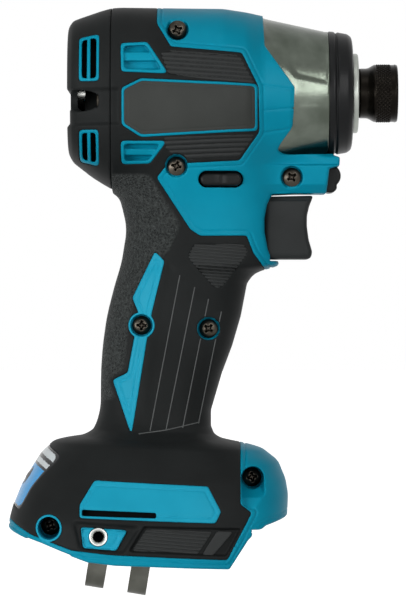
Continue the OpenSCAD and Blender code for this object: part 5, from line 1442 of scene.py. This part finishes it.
def rib_patches():
    for name, (outline, (start, end), pitch, sink) in RIBS.items():
        base = FOOT_RIB_SINK if name.startswith("foot") else 0.0
        corner = outline.low + SHEET_MARGIN - RIB_MARGIN
        span = outline.count * SHEET_STEP - 2 * SHEET_MARGIN + 2 * RIB_MARGIN
        low = (corner[0], RIB_Y[0], corner[1])
        high = (corner[0] + span[0], RIB_Y[1], corner[1] + span[1])
        for right in (True, False):
            field = sunk(rib_field(outline, start, end, pitch, sink, right), base)
            points, quads = meshed(field, low, high, RIB_CELL, shallow(sunk(whole_form, base), RIB_KEPT))
            skin_relief_piece(name, right, points, quads, RIB_HIGHLIGHT)


RIDGE_CORNERS = traced((132, 440), (228, 268))
RIDGE_INNER_Y = 2.0
RIDGE_OUTER_Y = GRIP_HALF + 3
RIDGE_WELL = WELL_RADIUS + 0.5
RIDGE_EDGE = 0.15
RIDGE_ROOT = 0.4
RIDGE_KEPT = 0.2
RIDGE_CELL = 0.18


def grip_surface(x, y, z):
    return whole_form(x, y, z) + skin_relief(x, z)


def grip_ridges():
    """Hairline ridges on the side panel of the grip, with a painted highlight along their crests."""
    (left, bottom), (ahead, top) = RIDGE_CORNERS
    low = (left, RIDGE_INNER_Y, bottom)
    high = (ahead, RIDGE_OUTER_Y, top)
    for right in (True, False):
        def field(x, y, z):
            form = grip_surface(x, y, z)
            near = np.min([ridge(x, z) for ridge in GRIP_RIDGES], 0)
            if right:
                near = np.maximum(near, -screw_distance(x, z, RIDGE_WELL))
            return np.maximum(blend_max(form - RIDGE_RISE, near, RIDGE_EDGE), -(form + RIDGE_ROOT))

        points, quads = meshed(field, low, high, RIDGE_CELL, shallow(grip_surface, RIDGE_KEPT))
        skin_relief_piece("grip_ridges", right, points, quads, 1.0)


FILM_CELL = 0.3
FILM_EDGE = 0.2
# Plate: how far it lies under the surface, its gap to the housing, its border line and its thickness
PLATE_LOW = (-96.0, 15.0, -16.0)
PLATE_HIGH = (-45.0, 33.0, 6.0)
PLATE_DEPTH = 0.12
PLATE_GAP = 0.15
PLATE_BORDER = 1.2
PLATE_BORDER_DEPTH = 0.12
PLATE_BORDER_WIDTH = 0.2
PLATE_ROOT = 0.7
PLATE_KEPT = 0.5


def plate_field(x, y, z):
    form = whole_form(x, y, z)
    edge = PLATE(x, z)
    surface = form + PLATE_DEPTH + PLATE_BORDER_DEPTH * groove(edge + PLATE_BORDER, PLATE_BORDER_WIDTH)
    return np.maximum(blend_max(surface, edge + PLATE_GAP, FILM_EDGE), -(form + PLATE_ROOT))


def rating_plate():
    outer = shallow(whole_form, PLATE_KEPT)
    points, quads = mirrored(*meshed(plate_field, PLATE_LOW, PLATE_HIGH, FILM_CELL, outer))
    mesh_piece("plate_film", points, quads, (PLATE_GREY,), "frame", ("rating_plate",))


# Panel film: gap, depth, thickness and what is kept of it, and where its fields lie up the slope
PANEL_GAP = 0.12
PANEL_DEPTH = 0.1
PANEL_ROOT = 0.5
PANEL_KEPT = 0.35
PANEL_BORDER = 1.0
PALE_FROM = 5.0
PALE_BREAK = 7.4
PALE_BREAK_HALF = 0.7
BLUE_TO = 4.0
PANEL_BOX = np.array([PANEL_HALF_HEIGHT + 4, PANEL_HALF_WIDTH + 1, PANEL_HALF_HEIGHT + 4])
PANEL_BOX_MIDDLE = PANEL_MIDDLE * (1, 0, 1)


def film_field(x, y, z):
    form = whole_form(x, y, z)
    rim = np.maximum(panel_mask(x, y, z) + PANEL_GAP, -button_wells(x, y, z))
    return np.maximum(blend_max(form + PANEL_DEPTH, rim, FILM_EDGE), -(form + PANEL_ROOT))


def panel_film():
    """Film on the rear slope of the foot: a black border round a blue field and pale stripes, unprinted."""
    low = PANEL_BOX_MIDDLE - PANEL_BOX
    high = PANEL_BOX_MIDDLE + PANEL_BOX
    points, quads = meshed(film_field, low, high, FILM_CELL, shallow(whole_form, PANEL_KEPT))
    x, y, z = points[quads].mean(1).T
    along = along_panel(x, z, PANEL_MIDDLE)
    inner = panel_mask(x, y, z) < -PANEL_BORDER
    pale = inner & (along > PALE_FROM) & (np.abs(along - PALE_BREAK) > PALE_BREAK_HALF)
    blue = inner & (along < BLUE_TO)
    paint = np.where(pale, 1, np.where(blue, 2, 0))
    materials = (GLOSS_BLACK, PANEL_WHITE, PANEL_BLUE)
    mesh_piece("panel_film", points, quads, materials, "frame", ("mode_panel",), paint)


BUTTON_CELL = 0.2
BUTTON_EDGE = 0.3


def panel_buttons():
    """Low domed buttons in the panel."""
    for name, middle in BUTTONS.items():
        def field(x, y, z):
            form = whole_form(x, y, z)
            rim = button_mask(name, x, y, z)
            domed = form - BUTTON_RISE * step(-rim / BUTTON_RADIUS) + PANEL_DEPTH
            return np.maximum(blend_max(domed, rim, BUTTON_EDGE), -(form + BUTTON_ROOT))
        points, quads = meshed(field, middle - BUTTON_BOX, middle + BUTTON_BOX, BUTTON_CELL)
        mesh_piece(name + "_cap", points, quads, (GLOSS_BLACK,), name, (name,))


# Screw heads: radius, crown and edge, and the half length, half width, narrowing and depth of the cross
HEAD_RADIUS = 3.15
HEAD_CROWN = 5.2
HEAD_BACK_EDGE = 0.3
CROSS_LENGTH = 2.0
CROSS_WIDTH = 0.42
CROSS_TAPER = 0.35
CROSS_TAPER_TO = 1.5
CROSS_LEAN = 0.7
CROSS_DEPTH = 1.7
CROSS_EDGE = 0.15
CORE_RADIUS = 1.0
CORE_LEAN = 0.4
SCREW_LOW = (-3.6, -0.6, -3.6)
SCREW_HIGH = (3.6, 2.8, 3.6)
SCREW_CELL = 0.2
# Turn of the first screw's cross, and from each to the next, in radians
FIRST_TURN = 0.4
NEXT_TURN = 0.9


def screw_field(x, y, z):
    """Pan head with a cross recess, its face at y = 0 and its back at the head's height."""
    r = np.hypot(x, z)
    rim = blend_max(r - HEAD_RADIUS, y - SCREW_HEAD, HEAD_BACK_EDGE)
    head = np.maximum(np.hypot(r, y - HEAD_CROWN) - HEAD_CROWN, rim)
    taper = CROSS_WIDTH * (1 - CROSS_TAPER * np.clip(y, 0, CROSS_TAPER_TO))
    reach = CROSS_LENGTH - CROSS_LEAN * y
    arms = np.minimum(np.maximum(np.abs(x) - taper, np.abs(z) - reach),
                      np.maximum(np.abs(z) - taper, np.abs(x) - reach))
    core = r - CORE_RADIUS + CORE_LEAN * y
    return blend_max(head, -np.maximum(np.minimum(arms, core), y - CROSS_DEPTH), CROSS_EDGE)


def screws():
    head, faces = meshed(screw_field, SCREW_LOW, SCREW_HIGH, SCREW_CELL)
    x, y, z = head.T
    points = []
    quads = []
    for number, place in enumerate(SCREWS):
        turn = FIRST_TURN + NEXT_TURN * number
        across = x * math.cos(turn) - z * math.sin(turn)
        up = x * math.sin(turn) + z * math.cos(turn)
        points.append(np.column_stack([across, y, up]) + place)
        quads.append(faces + number * len(head))
    mesh_piece("housing_screw_heads", np.concatenate(points), np.concatenate(quads), (SCREW_STEEL,), "frame",
               ("housing_screws",))


# Inserts: profile in (depth, r), and the depth and radius of the bore that gets painted shade
INSERT_CORNERS = ((2.4, 3.0), (0.0, 3.0), (0.0, 2.5), (0.9, 1.7), (5.0, 1.6), (5.0, 0.0))
INSERT_AROUND = 48
BORE_FROM = 2.6
BORE_RADIUS = 1.75


def inserts():
    """Turned inserts for the belt hook: a countersunk mouth and a bore painted near black as shade, the same
    on both sides.
    """
    turned, faces = lathe(rounded_profile(INSERT_CORNERS, *FINE_ROUND), INSERT_AROUND)
    face = INSERT_HIGH[1]
    right = turned[:, (1, 0, 2)] + (INSERT_PLACE[0], -face, INSERT_PLACE[1])
    left, left_faces = mirrored(right, faces)
    points = np.concatenate([right, left])
    quads = np.concatenate([faces, left_faces + len(right)])
    x, y, z = points[quads].mean(1).T
    # The bore deeper than BORE_FROM is painted near black: painted shade.
    bore = (np.abs(y) < face - BORE_FROM) & (np.hypot(x - INSERT_PLACE[0], z - INSERT_PLACE[1]) < BORE_RADIUS)
    mesh_piece("hook_insert_mouths", points, quads, (STEEL, BLACK_AND_PAINTED_SHADE), "frame", ("hook_inserts",), bore)


# CAD nodes that stay
BEVELS = {"belt_hook": 0.25, "hook_screw": 0.2}


def finish_nodes():
    record = frame["record"]
    slots = {part["node"]: part["material_slot"] for part in record["subparts"]}
    for name, node in frame["nodes"].items():
        node.data.materials.clear()
        node.data.materials.append(HOOK_STEEL if name == "belt_hook" else SLOT_FINISH[slots[name]])
    for name, width in BEVELS.items():
        edge = frame["nodes"][name].modifiers.new("edge", "BEVEL")
        edge.width = width * MM
        edge.segments = 2


# Stage, light and camera, in metres and watts
FLOOR_SIZE = 4.0
FLOOR_DROP = 0.0002
FLOOR_GLOW = 0.96
FLOOR_GREYS = ((0.66, 0.66, 0.66, 1.0), (0.7, 0.7, 0.7, 1.0))
FLOOR_ROUGH = 0.9
FLOOR_SCALE = 3.0
WHITE = (1.0, 1.0, 1.0, 1.0)
SURROUND = 0.14
# Place, size and power of each light; all face the middle of the view
LIGHTS = {
    "key": ((-0.75, -0.8, -0.14), (0.7, 0.5), 12.6),
    "front": ((-0.03, -1.3, 0.0), (0.35, 0.35), 1.3),
    "top": ((-0.12, -0.4, 0.75), (0.35, 0.35), 0.7),
    "strip": ((0.42, -0.95, 0.24), (0.14, 0.65), 4.0)}
SENSOR = 36.0
FARTHEST = 20


def shows_white(tree):
    """Is 1 for the rays that the camera, metal and glass send out, and 0 for the light on the tool."""
    path = tree.nodes.new("ShaderNodeLightPath")
    share = path.outputs["Is Camera Ray"]
    for kind in ("Is Glossy Ray", "Is Transmission Ray"):
        either = tree.nodes.new("ShaderNodeMath")
        either.operation = "MAXIMUM"
        tree.links.new(share, either.inputs[0])
        tree.links.new(path.outputs[kind], either.inputs[1])
        share = either.outputs["Value"]
    return share


def floor_finish():
    """Pale floor that the camera sees as white, apart from the shadow on it."""
    pale = Finish("pale_floor", FLOOR_ROUGH)
    pale.colour(pale.ramp(pale.noise(FLOOR_SCALE), *FLOOR_GREYS))
    tree = pale.tree
    glow = tree.nodes.new("ShaderNodeEmission")
    glow.inputs["Strength"].default_value = FLOOR_GLOW
    both = tree.nodes.new("ShaderNodeAddShader")
    tree.links.new(pale.shader.outputs["BSDF"], both.inputs[0])
    tree.links.new(glow.outputs["Emission"], both.inputs[1])
    seen = tree.nodes.new("ShaderNodeMixShader")
    tree.links.new(shows_white(tree), seen.inputs["Fac"])
    tree.links.new(pale.shader.outputs["BSDF"], seen.inputs[1])
    tree.links.new(both.outputs["Shader"], seen.inputs[2])
    tree.links.new(seen.outputs["Shader"], tree.nodes["Material Output"].inputs["Surface"])
    return pale.material


def stage():
    low = CAD_BOX[0][2] - FLOOR_DROP
    corners = [(a * FLOOR_SIZE, b * FLOOR_SIZE, low) for a, b in ((-1, -1), (1, -1), (1, 1), (-1, 1))]
    mesh = bpy.data.meshes.new("floor")
    mesh.from_pydata(corners, [], [(0, 1, 2, 3)])
    mesh.materials.append(floor_finish())
    floor = bpy.data.objects.new("floor", mesh)
    bpy.context.scene.collection.objects.link(floor)


def backdrop():
    """White for the camera, metal and glass, and a dim even light for the rest."""
    world = bpy.data.worlds.new("studio")
    world.use_nodes = True
    tree = world.node_tree
    light = tree.nodes["Background"]
    white = tree.nodes.new("ShaderNodeBackground")
    for made, strength in ((light, SURROUND), (white, 1.0)):
        made.inputs["Color"].default_value = WHITE
        made.inputs["Strength"].default_value = strength
    mixed = tree.nodes.new("ShaderNodeMixShader")
    tree.links.new(shows_white(tree), mixed.inputs["Fac"])
    tree.links.new(light.outputs["Background"], mixed.inputs[1])
    tree.links.new(white.outputs["Background"], mixed.inputs[2])
    tree.links.new(mixed.outputs["Shader"], tree.nodes["World Output"].inputs["Surface"])
    bpy.context.scene.world = world


def lights():
    target = Vector((VIEW_X * MM, 0, VIEW_Z * MM))
    for name, (place, size, power) in LIGHTS.items():
        data = bpy.data.lights.new(name, "AREA")
        data.shape = "RECTANGLE"
        data.size = size[0]
        data.size_y = size[1]
        data.energy = power
        lamp = bpy.data.objects.new(name, data)
        lamp.location = place
        lamp.rotation_euler = (target - Vector(place)).to_track_quat("-Z", "Y").to_euler()
        bpy.context.scene.collection.objects.link(lamp)



def camera():
    data = bpy.data.cameras.new("camera")
    data.sensor_width = SENSOR
    data.sensor_fit = "AUTO"
    data.lens = SENSOR * CAMERA_DISTANCE / (PHOTO_SIZE[1] * PIXEL)
    data.clip_end = FARTHEST
    made = bpy.data.objects.new("camera", data)
    made.location = (VIEW_X * MM, -CAMERA_DISTANCE * MM, VIEW_Z * MM)
    made.rotation_euler = (math.pi / 2, 0, 0)
    bpy.context.scene.collection.objects.link(made)
    bpy.context.scene.camera = made


finish_nodes()
housings()
rear_pieces()
hammer_case()
bumper()
sleeve()
controls()
rib_patches()
grip_ridges()
rating_plate()
panel_film()
panel_buttons()
screws()
inserts()
stage()
backdrop()
lights()
camera()
bpy.context.scene.view_settings.view_transform = "Standard"
